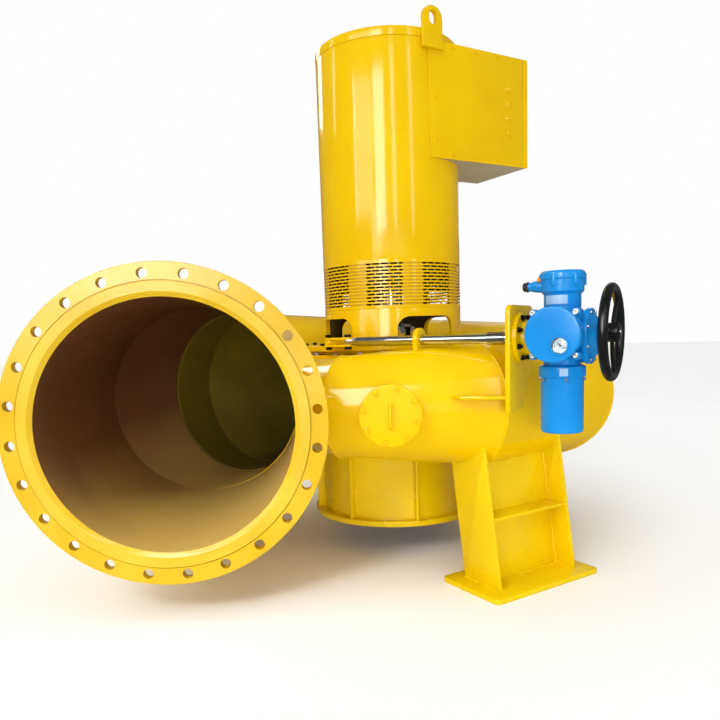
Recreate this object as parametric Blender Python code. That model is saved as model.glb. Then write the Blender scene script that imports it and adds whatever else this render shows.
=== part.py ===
"""Small vertical Kaplan turbine with its generator, spiral case and gate actuator.

Metres, +Z up, the unit standing on the floor z = 0. The turbine axis is the
vertical line through (AXIS_X, AXIS_Y). Volute angles run clockwise from the
inlet side, seen from above, and azimuths run anticlockwise from +X.
"""
import math

import bmesh
import bpy
from mathutils import Matrix, Vector

# Where the turbine axis stands, so that the whole unit is centred on the origin
AXIS_X = 0.1976
AXIS_Y = -0.0100

# Air left between two pieces that touch, and the running gap of a journal
TOUCH = 0.0003
RUNNING = 0.0006
SMOOTH_ANGLE = math.radians(35)
ROUND = 40
FINE_ROUND = 48
HIDDEN_ROUND = 30
SMALL_ROUND = 24
PIN_ROUND = 12

# Inlet: DN 800 flange and pipe
PIPE_HEIGHT = 0.650
PIPE_OFFSET = 0.826
PIPE_RADIUS = 0.410
PIPE_WALL = 0.008
FLANGE_REACH = 0.893
FLANGE_RADIUS = 0.5075
FLANGE_THICKNESS = 0.036
RAISED_RADIUS = 0.4525
RAISED_HEIGHT = 0.004
BOLT_CIRCLE_RADIUS = 0.475
BOLT_HOLE_RADIUS = 0.0165
BOLT_HOLES = 24
BOLT_HOLE_SIDES = 8
BOLT_CIRCLE_TURN = math.radians(2.8)

# Spiral case: rolled courses between mitre planes
RING_EDGE = 0.4446
SHELL_EDGE_HEIGHT = 0.138
SECTION_SHRINK = 0.00075
CASE_WALL = 0.008
MITRES = (0, 38, 78, 120, 162, 204, 250, 296, 345)
MITRE_GAP_ANGLE = 0.0004
COURSE_STEPS = 3
SECTION_POINTS = 16
BLEND_WIDTH = 0.10

# Stay ring, gates and head cover
PASSAGE_HALF = 0.120
RING_THICKNESS = 0.035
STAY_OUTER = 0.4397
STAY_INNER = 0.392
STAY_VANES = 12
GATE_RING_OUTER = 0.3917
GATE_RING_INNER = 0.333
GATE_RADIUS = 0.360
GATES = 12
COVER_TOP = 0.185
COVER_OUTER = 0.430

# Runner, its chamber and shaft
RUNNER_RADIUS = 0.3135
CHAMBER_INNER = 0.3195
CHAMBER_OUTER = 0.331
CHAMBER_BOTTOM = -0.515
CHAMBER_FLANGE = 0.369
CHAMBER_RIBS = 8
RIB_AZIMUTH = math.radians(-84)
HUB_RADIUS = 0.120
HUB_TOP = -0.135
BLADES = 4
BLADE_CENTRE = -0.270
BLADE_CHORD_ANGLE = math.radians(74)
BLADE_PITCH = 0.10
SHAFT_RADIUS = 0.045

# Generator and its stand
DRUM_RADIUS = 0.2965
STAND_WALL = 0.018
STAND_TOP = 0.364
ARCH_AZIMUTH = math.radians(-67)
ARCH_WIDTH = 0.262
ARCH_BOTTOM = 0.224
ARCH_TOP = 0.330
ARCH_ROUND = 0.050
VENT_TOP = 0.557
VENT_WINDOWS = 8
VENT_AZIMUTH = math.radians(-102.5)
VENT_WIDTH = 0.150
SCREEN_THICKNESS = 0.003
FRAME_TOP = 1.388
LID_TOP = 1.425
LID_ROUND = 0.012
LUG_AZIMUTHS = (math.radians(-61), math.radians(119))
LUG_WIDTH = 0.092
LUG_THICKNESS = 0.020
LUG_BOTTOM = 1.349
LUG_TOP = 1.501
LUG_HOLE_RADIUS = 0.023

# Terminal box, one face tangent to the drum
BOX_TURN = math.radians(26)
BOX_REACH = 0.515
BOX_DEPTH = 0.330
BOX_BOTTOM = 0.948
BOX_TOP = 1.385
BOX_COVER = 0.004

# Regulating rod, seen along its own axis: x from the foot of the axis' normal
ROD_TURN = math.radians(-35)
ROD_DISTANCE = 0.450
ROD_Z = 0.237
ROD_RADIUS = 0.018
ROD_END = 0.800
ROD_STROKE = 0.050
EYE_X = 0.043
EYE_HALF = 0.009
PIN_RADIUS = 0.008
RING_PIN_X = -0.045
RING_PIN_PLAY = 0.0038
LINK_PLATE = 0.008
LINK_HALF_WIDTH = 0.017
THREAD_START = 0.607
THREAD_END = 0.668
THREAD_RADIUS = 0.022
ROD_BORE = 0.030

# Regulating ring
REG_INNER = 0.3255
REG_OUTER = 0.408
REG_BOTTOM = 0.200
REG_TOP = 0.222

# Brackets and actuator, x along the rod, y towards the turbine
GUIDE_X = 0.348
GUIDE_THICKNESS = 0.016
GUIDE_HEAD = 0.044
PLATE_X = 0.700
PLATE_THICKNESS = 0.016
PLATE_NEAR = -0.098
PLATE_FAR = 0.154
PLATE_TOP = 0.345
PLATE_BOTTOM = -0.004
ADAPTOR_RADIUS = 0.0825
ADAPTOR_END = 0.775
MOTOR_X = 0.858
MOTOR_RADIUS = 0.068
GEARCASE_END = 0.972
COVER_NEAR = -0.150
COVER_RADIUS = 0.086
WHEEL_X = 1.010
WHEEL_RADIUS = 0.153
WHEEL_RIM = 0.015
WHEEL_SPOKES = 3

# Legs: welded H sections under the case, leaning outwards
LEG_AZIMUTHS = {
    "leg_front": math.radians(-59),
    "leg_left": math.radians(170),
    "leg_back": math.radians(66),
}
LEG_TWIST = math.radians(-2.5)
FOOT_LENGTH = 0.515
FOOT_WIDTH = 0.292
FOOT_THICKNESS = 0.018
LEG_LENGTH = 0.387
LEG_WIDTH = 0.182
LEG_PLATE = 0.012
LEG_LEAN = 0.156

# Handhole on the front of the case
HANDHOLE_AZIMUTH = math.radians(-98)
HANDHOLE_Z = -0.005
HANDHOLE_RADIUS = 0.105
HANDHOLE_FACE = 0.812

PAINTS = {
    "yellow_enamel": ((0.90, 0.60, 0.003), 0.25, 0.0),
    "inner_primer": ((0.30, 0.14, 0.05), 0.55, 0.0),
    "blue_enamel": ((0.01, 0.24, 0.72), 0.28, 0.0),
    "black_plastic": ((0.01, 0.01, 0.01), 0.30, 0.0),
    "bright_steel": ((0.62, 0.62, 0.60), 0.22, 1.0),
    "bronze": ((0.55, 0.38, 0.16), 0.35, 1.0),
}


def paint(name):
    material = bpy.data.materials.get(name)
    if material is None:
        colour, roughness, metallic = PAINTS[name]
        material = bpy.data.materials.new(name)
        material.use_nodes = True
        shader = material.node_tree.nodes["Principled BSDF"]
        shader.inputs["Base Color"].default_value = (*colour, 1)
        shader.inputs["Roughness"].default_value = roughness
        shader.inputs["Metallic"].default_value = metallic
    return material


def add_frame(name, location=(0, 0, 0), turn=0.0, parent=None):
    """An empty that carries pieces; turn is about its own Z."""
    empty = bpy.data.objects.new(name, None)
    bpy.context.collection.objects.link(empty)
    empty.location = location
    empty.rotation_euler = (0, 0, turn)
    empty.parent = parent
    return empty


def add_piece(name, bm, finish, parent, matrix=Matrix()):
    """Turn a closed bmesh into a named object with outward faces."""
    bmesh.ops.recalc_face_normals(bm, faces=bm.faces)
    mesh = bpy.data.meshes.new(name)
    bm.to_mesh(mesh)
    bm.free()
    mesh.shade_smooth()
    mesh.set_sharp_from_angle(angle=SMOOTH_ANGLE)
    piece = bpy.data.objects.new(name, mesh)
    bpy.context.collection.objects.link(piece)
    piece.parent = parent
    piece.matrix_basis = matrix
    mesh.materials.append(paint(finish))
    return piece


def boolean(piece, tool, operation):
    modifier = piece.modifiers.new(f"{operation.lower()}_{tool.name}", "BOOLEAN")
    modifier.operation = operation
    modifier.solver = "EXACT"
    modifier.object = tool
    tool.hide_render = True
    tool.display_type = "WIRE"


def cut(piece, *tools):
    for tool in tools:
        boolean(piece, tool, "DIFFERENCE")


def fuse(piece, *tools):
    for tool in tools:
        boolean(piece, tool, "UNION")


def add_lathe(bm, profile, sides=ROUND, turn=0.0):
    """Revolve a closed (radius, height) profile about Z; radius 0 is a pole."""
    rings = []
    for radius, height in profile:
        if radius == 0:
            rings.append([bm.verts.new((0, 0, height))])
            continue
        angles = (turn + 2 * math.pi * k / sides for k in range(sides))
        ring = [bm.verts.new((radius * math.cos(a), radius * math.sin(a), height)) for a in angles]
        rings.append(ring)
    for first, second in zip(rings, rings[1:] + rings[:1]):
        if len(first) == len(second) == 1:
            continue
        for k in range(sides):
            corners = [first[k % len(first)], first[(k + 1) % len(first)],
                       second[(k + 1) % len(second)], second[k % len(second)]]
            unique = []
            for corner in corners:
                if corner not in unique:
                    unique.append(corner)
            bm.faces.new(unique)
    return bm


def lathe(name, profile, finish, parent, matrix=Matrix(), sides=ROUND, turn=0.0):
    return add_piece(name, add_lathe(bmesh.new(), profile, sides, turn), finish, parent, matrix)


def tube_profile(inner, outer, low, high):
    return [(inner, low), (outer, low), (outer, high), (inner, high)]


def disc_profile(radius, low, high):
    return [(0, low), (radius, low), (radius, high), (0, high)]


def prism(name, outline, low, high, finish, parent, matrix=Matrix()):
    """Extrude a closed (x, y) outline along Z."""
    bm = bmesh.new()
    base = bm.faces.new([bm.verts.new((x, y, low)) for x, y in outline])
    sweep = bmesh.ops.extrude_face_region(bm, geom=[base])
    moved = [v for v in sweep["geom"] if isinstance(v, bmesh.types.BMVert)]
    bmesh.ops.translate(bm, verts=moved, vec=(0, 0, high - low))
    return add_piece(name, bm, finish, parent, matrix)


def box(name, low, high, finish, parent, matrix=Matrix()):
    outline = [(low[0], low[1]), (high[0], low[1]), (high[0], high[1]), (low[0], high[1])]
    return prism(name, outline, low[2], high[2], finish, parent, matrix)


def arc(centre, radius, start, end, steps):
    return [(centre[0] + radius * math.cos(start + (end - start) * k / steps),
             centre[1] + radius * math.sin(start + (end - start) * k / steps))
            for k in range(steps + 1)]


def rounded_rectangle(x0, y0, x1, y1, radii, steps=4):
    """Outline with one corner radius each, from (x0, y0) anticlockwise."""
    corners = ((x0, y0, 1, 1), (x1, y0, -1, 1), (x1, y1, -1, -1), (x0, y1, 1, -1))
    outline = []
    for number, (x, y, into_x, into_y) in enumerate(corners):
        radius = radii[number]
        if radius == 0:
            outline.append((x, y))
            continue
        start = math.pi + number * math.pi / 2
        centre = (x + into_x * radius, y + into_y * radius)
        outline += arc(centre, radius, start, start + math.pi / 2, steps)
    return outline


def along_x(x=0.0, y=0.0, z=0.0):
    """Local Z of a turned piece becomes +X."""
    return Matrix.Translation((x, y, z)) @ Matrix.Rotation(math.pi / 2, 4, "Y")


def along_y(x=0.0, y=0.0, z=0.0):
    """Local Z of a turned piece becomes +Y."""
    return Matrix.Translation((x, y, z)) @ Matrix.Rotation(-math.pi / 2, 4, "X")


def spoke(azimuth, radius=0.0, z=0.0):
    """Local X points outwards from the turbine axis."""
    direction = Vector((math.cos(azimuth), math.sin(azimuth), 0)) * radius
    return Matrix.Translation(direction + Vector((0, 0, z))) @ Matrix.Rotation(azimuth, 4, "Z")


def section_radius(angle):
    """Outer radius of the case at a volute angle in degrees."""
    return PIPE_RADIUS - SECTION_SHRINK * angle


def section_centre(angle):
    radius = section_radius(angle)
    return RING_EDGE + math.sqrt(radius ** 2 - SHELL_EDGE_HEIGHT ** 2)


def section_point(angle, step, grow):
    """One point of the C-shaped section: its radius from the axis and its height."""
    radius = section_radius(angle)
    opening = math.asin(SHELL_EDGE_HEIGHT / radius)
    turn = opening + (2 * math.pi - 2 * opening) * step / SECTION_POINTS
    reach = radius + grow
    return section_centre(angle) - reach * math.cos(turn), reach * math.sin(turn)


def on_volute(angle, radius, height, shift=0.0):
    azimuth = math.pi - math.radians(angle) + shift
    return Vector((radius * math.cos(azimuth), radius * math.sin(azimuth), height))


def course_grid(start, end, grow, shift=0.0):
    """Rows of points over one course: flat-rolled outside, round at the stay ring."""
    rows = []
    for k in range(COURSE_STEPS + 1):
        share = k / COURSE_STEPS
        angle = start + (end - start) * share
        squeeze = shift * (1 - 2 * share)
        row = []
        for step in range(SECTION_POINTS + 1):
            first = section_point(start, step, grow)
            last = section_point(end, step, grow)
            chord = on_volute(start, *first, -shift).lerp(on_volute(end, *last, shift), share)
            radius = first[0] + (last[0] - first[0]) * share
            height = first[1] + (last[1] - first[1]) * share
            curved = on_volute(angle, radius, height, -squeeze)
            weight = max(0.0, min(1.0, (radius - RING_EDGE) / BLEND_WIDTH))
            row.append(curved.lerp(chord, weight))
        rows.append(row)
    return rows


def add_grid(bm, rows):
    verts = [[bm.verts.new(point) for point in row] for row in rows]
    for low, high in zip(verts, verts[1:]):
        for k in range(len(low) - 1):
            bm.faces.new((low[k], low[k + 1], high[k + 1], high[k]))
    return verts


def bridge_rows(bm, first, second):
    for k in range(len(first) - 1):
        bm.faces.new((first[k], first[k + 1], second[k + 1], second[k]))


def case_course(name, start, end, parent):
    """One rolled course of the spiral case, open towards the stay ring."""
    bm = bmesh.new()
    outer = add_grid(bm, course_grid(start, end, 0.0, MITRE_GAP_ANGLE))
    inner = add_grid(bm, course_grid(start, end, -CASE_WALL, MITRE_GAP_ANGLE))
    bridge_rows(bm, outer[0], inner[0])
    bridge_rows(bm, outer[-1], inner[-1])
    bridge_rows(bm, [row[0] for row in outer], [row[0] for row in inner])
    bridge_rows(bm, [row[-1] for row in outer], [row[-1] for row in inner])
    return add_piece(name, bm, "yellow_enamel", parent)


def case_cutter(parent):
    """The closed volume that the case takes up, a touch larger."""
    rows = []
    for start, end in zip(MITRES, MITRES[1:]):
        grid = course_grid(start, end, TOUCH)
        rows += grid if not rows else grid[1:]
    bm = bmesh.new()
    verts = add_grid(bm, rows)
    bridge_rows(bm, [row[0] for row in verts], [row[-1] for row in verts])
    bm.faces.new(verts[0])
    bm.faces.new(verts[-1])
    return add_piece("case_cutter", bm, "yellow_enamel", parent)


def inlet(case):
    pipe_axis = along_y(-PIPE_OFFSET, 0, 0)
    bore = PIPE_RADIUS - PIPE_WALL
    face = -FLANGE_REACH
    shoulder = face + RAISED_HEIGHT
    back = face + FLANGE_THICKNESS
    profile = [(bore, face), (RAISED_RADIUS, face), (RAISED_RADIUS, shoulder),
               (FLANGE_RADIUS, shoulder), (FLANGE_RADIUS, back), (bore, back)]
    flange = lathe("inlet_flange", profile, "yellow_enamel", case, pipe_axis, FINE_ROUND)
    bm = bmesh.new()
    for k in range(BOLT_HOLES):
        angle = 2 * math.pi * (k + 0.5) / BOLT_HOLES + BOLT_CIRCLE_TURN
        hole = bmesh.ops.create_cone(
            bm, cap_ends=True, segments=BOLT_HOLE_SIDES, radius1=BOLT_HOLE_RADIUS,
            radius2=BOLT_HOLE_RADIUS, depth=4 * FLANGE_THICKNESS)
        bmesh.ops.translate(bm, verts=hole["verts"], vec=(
            BOLT_CIRCLE_RADIUS * math.cos(angle), BOLT_CIRCLE_RADIUS * math.sin(angle), face))
    cut(flange, add_piece("bolt_hole_cutter", bm, "yellow_enamel", case, pipe_axis))
    pipe = lathe("inlet_pipe", tube_profile(bore, PIPE_RADIUS, back + TOUCH, -TOUCH),
                 "yellow_enamel", case, pipe_axis, FINE_ROUND)
    ring_room = lathe("ring_room", disc_profile(RING_EDGE, -0.5, 0.5), "yellow_enamel", case)
    cut(pipe, ring_room)
    solid = disc_profile(PIPE_RADIUS + TOUCH, back, 0.01)
    return lathe("pipe_cutter", solid, "yellow_enamel", case, pipe_axis, FINE_ROUND)


def spiral_case(case):
    courses = []
    for number, (start, end) in enumerate(zip(MITRES, MITRES[1:]), 1):
        courses.append(case_course(f"case_course_{number}", start, end, case))
    return courses


def vane_outline(length, thickness, turn, steps=3):
    """A symmetric vane section about the origin, blunt in front and thin behind."""
    upper = []
    for k in range(steps + 1):
        along = k / steps
        half = thickness * (math.sqrt(along) * 1.6 - 1.1 * along - 0.5 * along ** 3)
        upper.append((length * (along - 0.5), max(half, 0.0006)))
    lower = [(x, -y) for x, y in reversed(upper)]
    cos, sin = math.cos(turn), math.sin(turn)
    return [(x * cos - y * sin, x * sin + y * cos) for x, y in upper + lower]


def vane_row(name, count, radius, length, thickness, turn, low, high, parent):
    """Upright vanes about the axis, as one tool of separate bodies."""
    bm = bmesh.new()
    outline = vane_outline(length, thickness, turn)
    for k in range(count):
        place = spoke(2 * math.pi * (k + 0.5) / count, radius)
        ends = [[bm.verts.new(place @ Vector((x, y, z))) for x, y in outline] for z in (low, high)]
        bm.faces.new(ends[0])
        bm.faces.new(ends[1])
        for k2 in range(len(outline)):
            after = (k2 + 1) % len(outline)
            bm.faces.new((ends[0][k2], ends[0][after], ends[1][after], ends[1][k2]))
    return add_piece(name, bm, "yellow_enamel", parent)


def stay_ring(case):
    outer_face = PASSAGE_HALF + RING_THICKNESS
    upper = lathe("stay_ring", tube_profile(STAY_INNER, STAY_OUTER, PASSAGE_HALF, outer_face),
                  "inner_primer", case, sides=HIDDEN_ROUND)
    lower = lathe("stay_ring_lower", tube_profile(STAY_INNER, STAY_OUTER, -outer_face, -PASSAGE_HALF),
                  "inner_primer", case, sides=HIDDEN_ROUND)
    reach = PASSAGE_HALF + 0.004
    vanes = vane_row("stay_vanes", STAY_VANES, 0.416, 0.046, 0.008, math.radians(38),
                     -reach, reach, case)
    fuse(upper, vanes, lower)


def gate_ring(case):
    """Guide vanes on the ring that carries them."""
    outer_face = PASSAGE_HALF + RING_THICKNESS
    ring = lathe("guide_vanes", tube_profile(GATE_RING_INNER, GATE_RING_OUTER, -outer_face,
                                             -PASSAGE_HALF), "inner_primer", case,
                 sides=HIDDEN_ROUND)
    vanes = vane_row("gate_blades", GATES, GATE_RADIUS, 0.090, 0.010, math.radians(62),
                     -PASSAGE_HALF - 0.004, PASSAGE_HALF - TOUCH, case)
    fuse(ring, vanes)


def head_cover(case):
    seat = PASSAGE_HALF + RING_THICKNESS + TOUCH
    bore = SHAFT_RADIUS + 0.005
    profile = [(bore, -0.120), (0.112, -0.120), (0.150, -0.030), (0.215, 0.060), (0.300, PASSAGE_HALF),
               (STAY_INNER - TOUCH, PASSAGE_HALF), (STAY_INNER - TOUCH, seat), (COVER_OUTER, seat),
               (COVER_OUTER, COVER_TOP), (0.170, COVER_TOP), (0.150, 0.235), (bore, 0.235)]
    lathe("head_cover", profile, "yellow_enamel", case, sides=HIDDEN_ROUND)


def runner_chamber(case):
    top = -PASSAGE_HALF - RING_THICKNESS - TOUCH
    neck = top - 0.022
    sill = CHAMBER_BOTTOM + 0.022
    profile = [(CHAMBER_INNER, CHAMBER_BOTTOM), (CHAMBER_FLANGE, CHAMBER_BOTTOM), (CHAMBER_FLANGE, sill),
               (CHAMBER_OUTER, sill), (CHAMBER_OUTER, neck), (0.405, neck), (0.405, top),
               (CHAMBER_INNER, top)]
    chamber = lathe("runner_chamber", profile, "yellow_enamel", case)
    bm = bmesh.new()
    for k in range(CHAMBER_RIBS):
        rib = bmesh.ops.create_cube(bm, size=1)
        inner, outer = CHAMBER_OUTER - 0.004, CHAMBER_FLANGE - 0.006
        size = Matrix.Diagonal((outer - inner, 0.010, neck - sill + 0.008, 1))
        place = spoke(RIB_AZIMUTH + 2 * math.pi * k / CHAMBER_RIBS, (inner + outer) / 2, (neck + sill) / 2)
        bmesh.ops.transform(bm, matrix=place @ size, verts=rib["verts"])
    fuse(chamber, add_piece("chamber_ribs", bm, "yellow_enamel", case))


def runner(rotor):
    """Hub with its nose cone, and blades seated on it."""
    profile = [(0, -0.460), (0.030, -0.452), (0.066, -0.420), (0.098, -0.365), (0.114, -0.320),
               (HUB_RADIUS, -0.285), (HUB_RADIUS, HUB_TOP), (0, HUB_TOP)]
    lathe("runner_hub", profile, "bronze", rotor, sides=HIDDEN_ROUND)
    for number in range(BLADES):
        blade(f"runner_blade_{number + 1}", 2 * math.pi * number / BLADES, rotor)


def blade(name, azimuth, rotor, spans=3, chords=8):
    """A twisted blade between the hub and the chamber, thickest at the hub."""
    bm = bmesh.new()
    faces = []
    root = HUB_RADIUS + TOUCH
    for side in (1, -1):
        rows = []
        for i in range(spans + 1):
            share = i / spans
            radius = root + (RUNNER_RADIUS - root) * share
            thickness = 0.012 - 0.007 * share
            sweep = BLADE_CHORD_ANGLE * (0.86 + 0.14 * share)
            rise = BLADE_PITCH * (1.0 - 0.35 * share)
            row = []
            for j in range(chords + 1):
                chord = j / chords - 0.5
                angle = azimuth + sweep * chord
                swell = math.cos(math.pi * chord) * 0.92 + 0.08
                height = BLADE_CENTRE + rise * chord + 0.020 * (0.25 - chord ** 2)
                row.append((radius * math.cos(angle), radius * math.sin(angle),
                            height + side * thickness / 2 * swell))
            rows.append(row)
        faces.append(add_grid(bm, rows))
    top, bottom = faces
    bridge_rows(bm, top[0], bottom[0])
    bridge_rows(bm, top[-1], bottom[-1])
    bridge_rows(bm, [row[0] for row in top], [row[0] for row in bottom])
    bridge_rows(bm, [row[-1] for row in top], [row[-1] for row in bottom])
    add_piece(name, bm, "bronze", rotor)


def shaft(rotor):
    journal = SHAFT_RADIUS + 0.0044
    top = VENT_TOP + 0.080
    profile = [(0, HUB_TOP + TOUCH), (SHAFT_RADIUS, HUB_TOP + TOUCH), (SHAFT_RADIUS, 0.240),
               (0.095, 0.240), (0.095, 0.290), (SHAFT_RADIUS, 0.290), (SHAFT_RADIUS, VENT_TOP + 0.020),
               (journal, VENT_TOP + 0.020), (journal, top), (0, top)]
    lathe("main_shaft", profile, "bright_steel", rotor, sides=SMALL_ROUND)


def generator(case):
    stand(case)
    vents(case)
    low = VENT_TOP + TOUCH
    bore = SHAFT_RADIUS + 0.005
    profile = [(0, VENT_TOP + 0.085), (bore, VENT_TOP + 0.085), (bore, low), (DRUM_RADIUS, low),
               (DRUM_RADIUS, FRAME_TOP), (0, FRAME_TOP)]
    lathe("generator_frame", profile, "yellow_enamel", case)
    base = FRAME_TOP + TOUCH
    rim = arc((DRUM_RADIUS - LID_ROUND, LID_TOP - LID_ROUND), LID_ROUND, 0, math.pi / 2, 3)
    lathe("generator_lid", [(0, base), (DRUM_RADIUS, base)] + rim + [(0, LID_TOP)],
          "yellow_enamel", case)


def stand(case):
    """Drum with four arched windows on a foot that the regulating ring turns about."""
    foot = COVER_TOP + TOUCH
    ledge = REG_BOTTOM - TOUCH
    wall = DRUM_RADIUS - STAND_WALL
    collar = REG_INNER * math.cos(math.pi / ROUND) - RUNNING
    profile = [(wall, foot), (0.362, foot), (0.362, ledge), (collar, ledge), (collar, REG_TOP - 0.004),
               (DRUM_RADIUS, REG_TOP), (DRUM_RADIUS, STAND_TOP), (0.235, STAND_TOP),
               (0.235, STAND_TOP - 0.014), (wall, STAND_TOP - 0.014)]
    body = lathe("generator_stand", profile, "yellow_enamel", case)
    half = ARCH_WIDTH / 2
    outline = rounded_rectangle(-half, ARCH_BOTTOM, half, ARCH_TOP, (0.004, 0.004, ARCH_ROUND, ARCH_ROUND))
    for k in range(2):
        turn = Matrix.Rotation(ARCH_AZIMUTH + math.pi / 2 + k * math.pi / 2, 4, "Z")
        upright = Matrix.Rotation(math.pi / 2, 4, "X")
        cut(body, prism(f"arch_cutter_{k}", outline, -0.45, 0.45, "yellow_enamel", case, turn @ upright))


def vents(case):
    """Slotted screen round a drum with eight windows."""
    low, high = STAND_TOP + TOUCH, VENT_TOP
    outer = DRUM_RADIUS - SCREEN_THICKNESS
    drum = lathe("vent_drum", tube_profile(outer - 0.012, outer - TOUCH, low, high), "yellow_enamel", case)
    half = VENT_WIDTH / 2
    for k in range(VENT_WINDOWS // 2):
        azimuth = VENT_AZIMUTH + k * 2 * math.pi / VENT_WINDOWS
        cutter = box(f"vent_cutter_{k}", (-0.45, -half, low + 0.012), (0.45, half, high - 0.014),
                     "yellow_enamel", case, spoke(azimuth))
        cut(drum, cutter)
    lathe("vent_screen", tube_profile(outer, DRUM_RADIUS, low, high), "yellow_enamel", case)


def lifting_lug(name, azimuth, case, box_room):
    """Eye plate welded to the drum; the one beside the terminal box laps over its corner."""
    half = LUG_WIDTH / 2
    outline = rounded_rectangle(-half, LUG_BOTTOM, half, LUG_TOP, (0.002, 0.002, 0.040, 0.040))
    seat = DRUM_RADIUS + TOUCH
    upright = Matrix.Rotation(math.pi / 2, 4, "Z") @ Matrix.Rotation(math.pi / 2, 4, "X")
    place = spoke(azimuth) @ upright
    lug = prism(name, outline, seat, seat + LUG_THICKNESS, "yellow_enamel", case, place)
    eye = place @ Matrix.Translation((0, LUG_TOP - 0.042, 0))
    cut(lug, lathe(f"{name}_eye", disc_profile(LUG_HOLE_RADIUS, 0.2, 0.5), "yellow_enamel", case, eye,
                   sides=PIN_ROUND), box_room)


def terminal_box(case):
    place = Matrix.Rotation(BOX_TURN, 4, "Z")
    face = -(DRUM_RADIUS + TOUCH + BOX_COVER)
    drum = lathe("drum_cutter", disc_profile(DRUM_RADIUS + TOUCH, 0.6, 1.6), "yellow_enamel", case)
    body = box("terminal_box", (0.004, face + BOX_COVER + TOUCH, BOX_BOTTOM),
               (BOX_REACH, face + BOX_DEPTH, BOX_TOP), "yellow_enamel", case, place)
    cut(body, drum)
    box("terminal_box_cover", (0.002, face, BOX_BOTTOM - 0.001), (BOX_REACH + 0.001, face + BOX_COVER,
                                                                  BOX_TOP + 0.001),
        "yellow_enamel", case, place)
    return box("box_room", (0.002 - TOUCH, face - TOUCH, BOX_BOTTOM - 0.002),
               (BOX_REACH + 0.002, 0, BOX_TOP + 0.001 + TOUCH), "yellow_enamel", case, place)


def handhole(case, volume):
    place = spoke(HANDHOLE_AZIMUTH, 0, HANDHOLE_Z) @ Matrix.Rotation(math.pi / 2, 4, "Y")
    inner = HANDHOLE_RADIUS - 0.030
    seat = HANDHOLE_FACE - 0.016
    profile = [(inner, 0.70), (inner + 0.012, 0.70), (inner + 0.012, seat - 0.014),
               (HANDHOLE_RADIUS, seat - 0.014), (HANDHOLE_RADIUS, seat - TOUCH), (inner, seat - TOUCH)]
    neck = lathe("handhole_neck", profile, "yellow_enamel", case, place, sides=SMALL_ROUND)
    cut(neck, volume)
    lathe("handhole_cover", disc_profile(HANDHOLE_RADIUS, seat, HANDHOLE_FACE), "yellow_enamel", case,
          place, sides=SMALL_ROUND)
    handle = rounded_rectangle(-0.011, -0.045, 0.011, 0.045, (0.002, 0.002, 0.002, 0.002), 2)
    lug = prism("handhole_handle", handle, HANDHOLE_FACE + TOUCH, HANDHOLE_FACE + 0.030, "yellow_enamel",
                case, place @ Matrix.Rotation(math.pi / 2, 4, "Z"))
    return lug


def legs(case, volume, pipe_volume):
    for name, azimuth in LEG_AZIMUTHS.items():
        angle = 180 - math.degrees(azimuth)
        angle = angle - 360 if angle > 350 else angle
        leg(name, azimuth, section_centre(max(angle, 0)) + 0.105, case, volume, pipe_volume)


def leg(name, azimuth, radius, case, volume, pipe_volume):
    """Two flange plates and a web, leaning outwards, on a foot plate."""
    floor = -PIPE_HEIGHT
    foot_top = floor + FOOT_THICKNESS
    place = spoke(azimuth, radius) @ Matrix.Rotation(LEG_TWIST, 4, "Z")
    half = FOOT_LENGTH / 2
    foot = prism(name, rounded_rectangle(-FOOT_WIDTH / 2, -half, FOOT_WIDTH / 2, half, (0.02,) * 4, 4),
                 floor, foot_top, "yellow_enamel", case, place)
    height = 0.62
    lean = Matrix.Identity(4)
    lean[0][2] = -LEG_LEAN
    stand_up = place @ Matrix.Translation((0, 0, foot_top))
    inside = LEG_LENGTH / 2 - LEG_PLATE
    width = LEG_WIDTH / 2
    tools = [
        box(f"{name}_plate_a", (-width, -inside - LEG_PLATE, -0.004), (width, -inside, height),
            "yellow_enamel", case, stand_up),
        box(f"{name}_plate_b", (-width, inside, -0.004), (width, inside + LEG_PLATE, height),
            "yellow_enamel", case, stand_up),
        box(f"{name}_web", (-0.006, -inside - 0.004, -0.004), (0.006, inside + 0.004, height),
            "yellow_enamel", case, stand_up),
        box(f"{name}_stiffener", (-width + 0.004, -inside - 0.004, 0.235), (width - 0.004, inside + 0.004,
                                                                            0.245),
            "yellow_enamel", case, stand_up),
    ]
    for tool in tools:
        tool.data.transform(lean)
    fuse(foot, *tools)
    cut(foot, volume, pipe_volume)


def guide_bracket(rod_frame, volume):
    """Eye on the crown of the case that the rod slides through."""
    low, high = GUIDE_X - GUIDE_THICKNESS / 2, GUIDE_X + GUIDE_THICKNESS / 2
    width = 0.034
    head = arc((0, ROD_Z), GUIDE_HEAD, 0, math.pi, 14)
    outline = [(width, 0.12)] + head + [(-width, 0.12)]
    upright = Matrix.Rotation(math.pi / 2, 4, "Z") @ Matrix.Rotation(math.pi / 2, 4, "X")
    eye = prism("guide_bracket", outline, low, high, "yellow_enamel", rod_frame, upright)
    cut(eye, volume)
    cut(eye, lathe("guide_bore", disc_profile(ROD_RADIUS + RUNNING, low - 0.1, high + 0.1),
                   "yellow_enamel", rod_frame, along_x(0, 0, ROD_Z), sides=PIN_ROUND))


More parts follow.
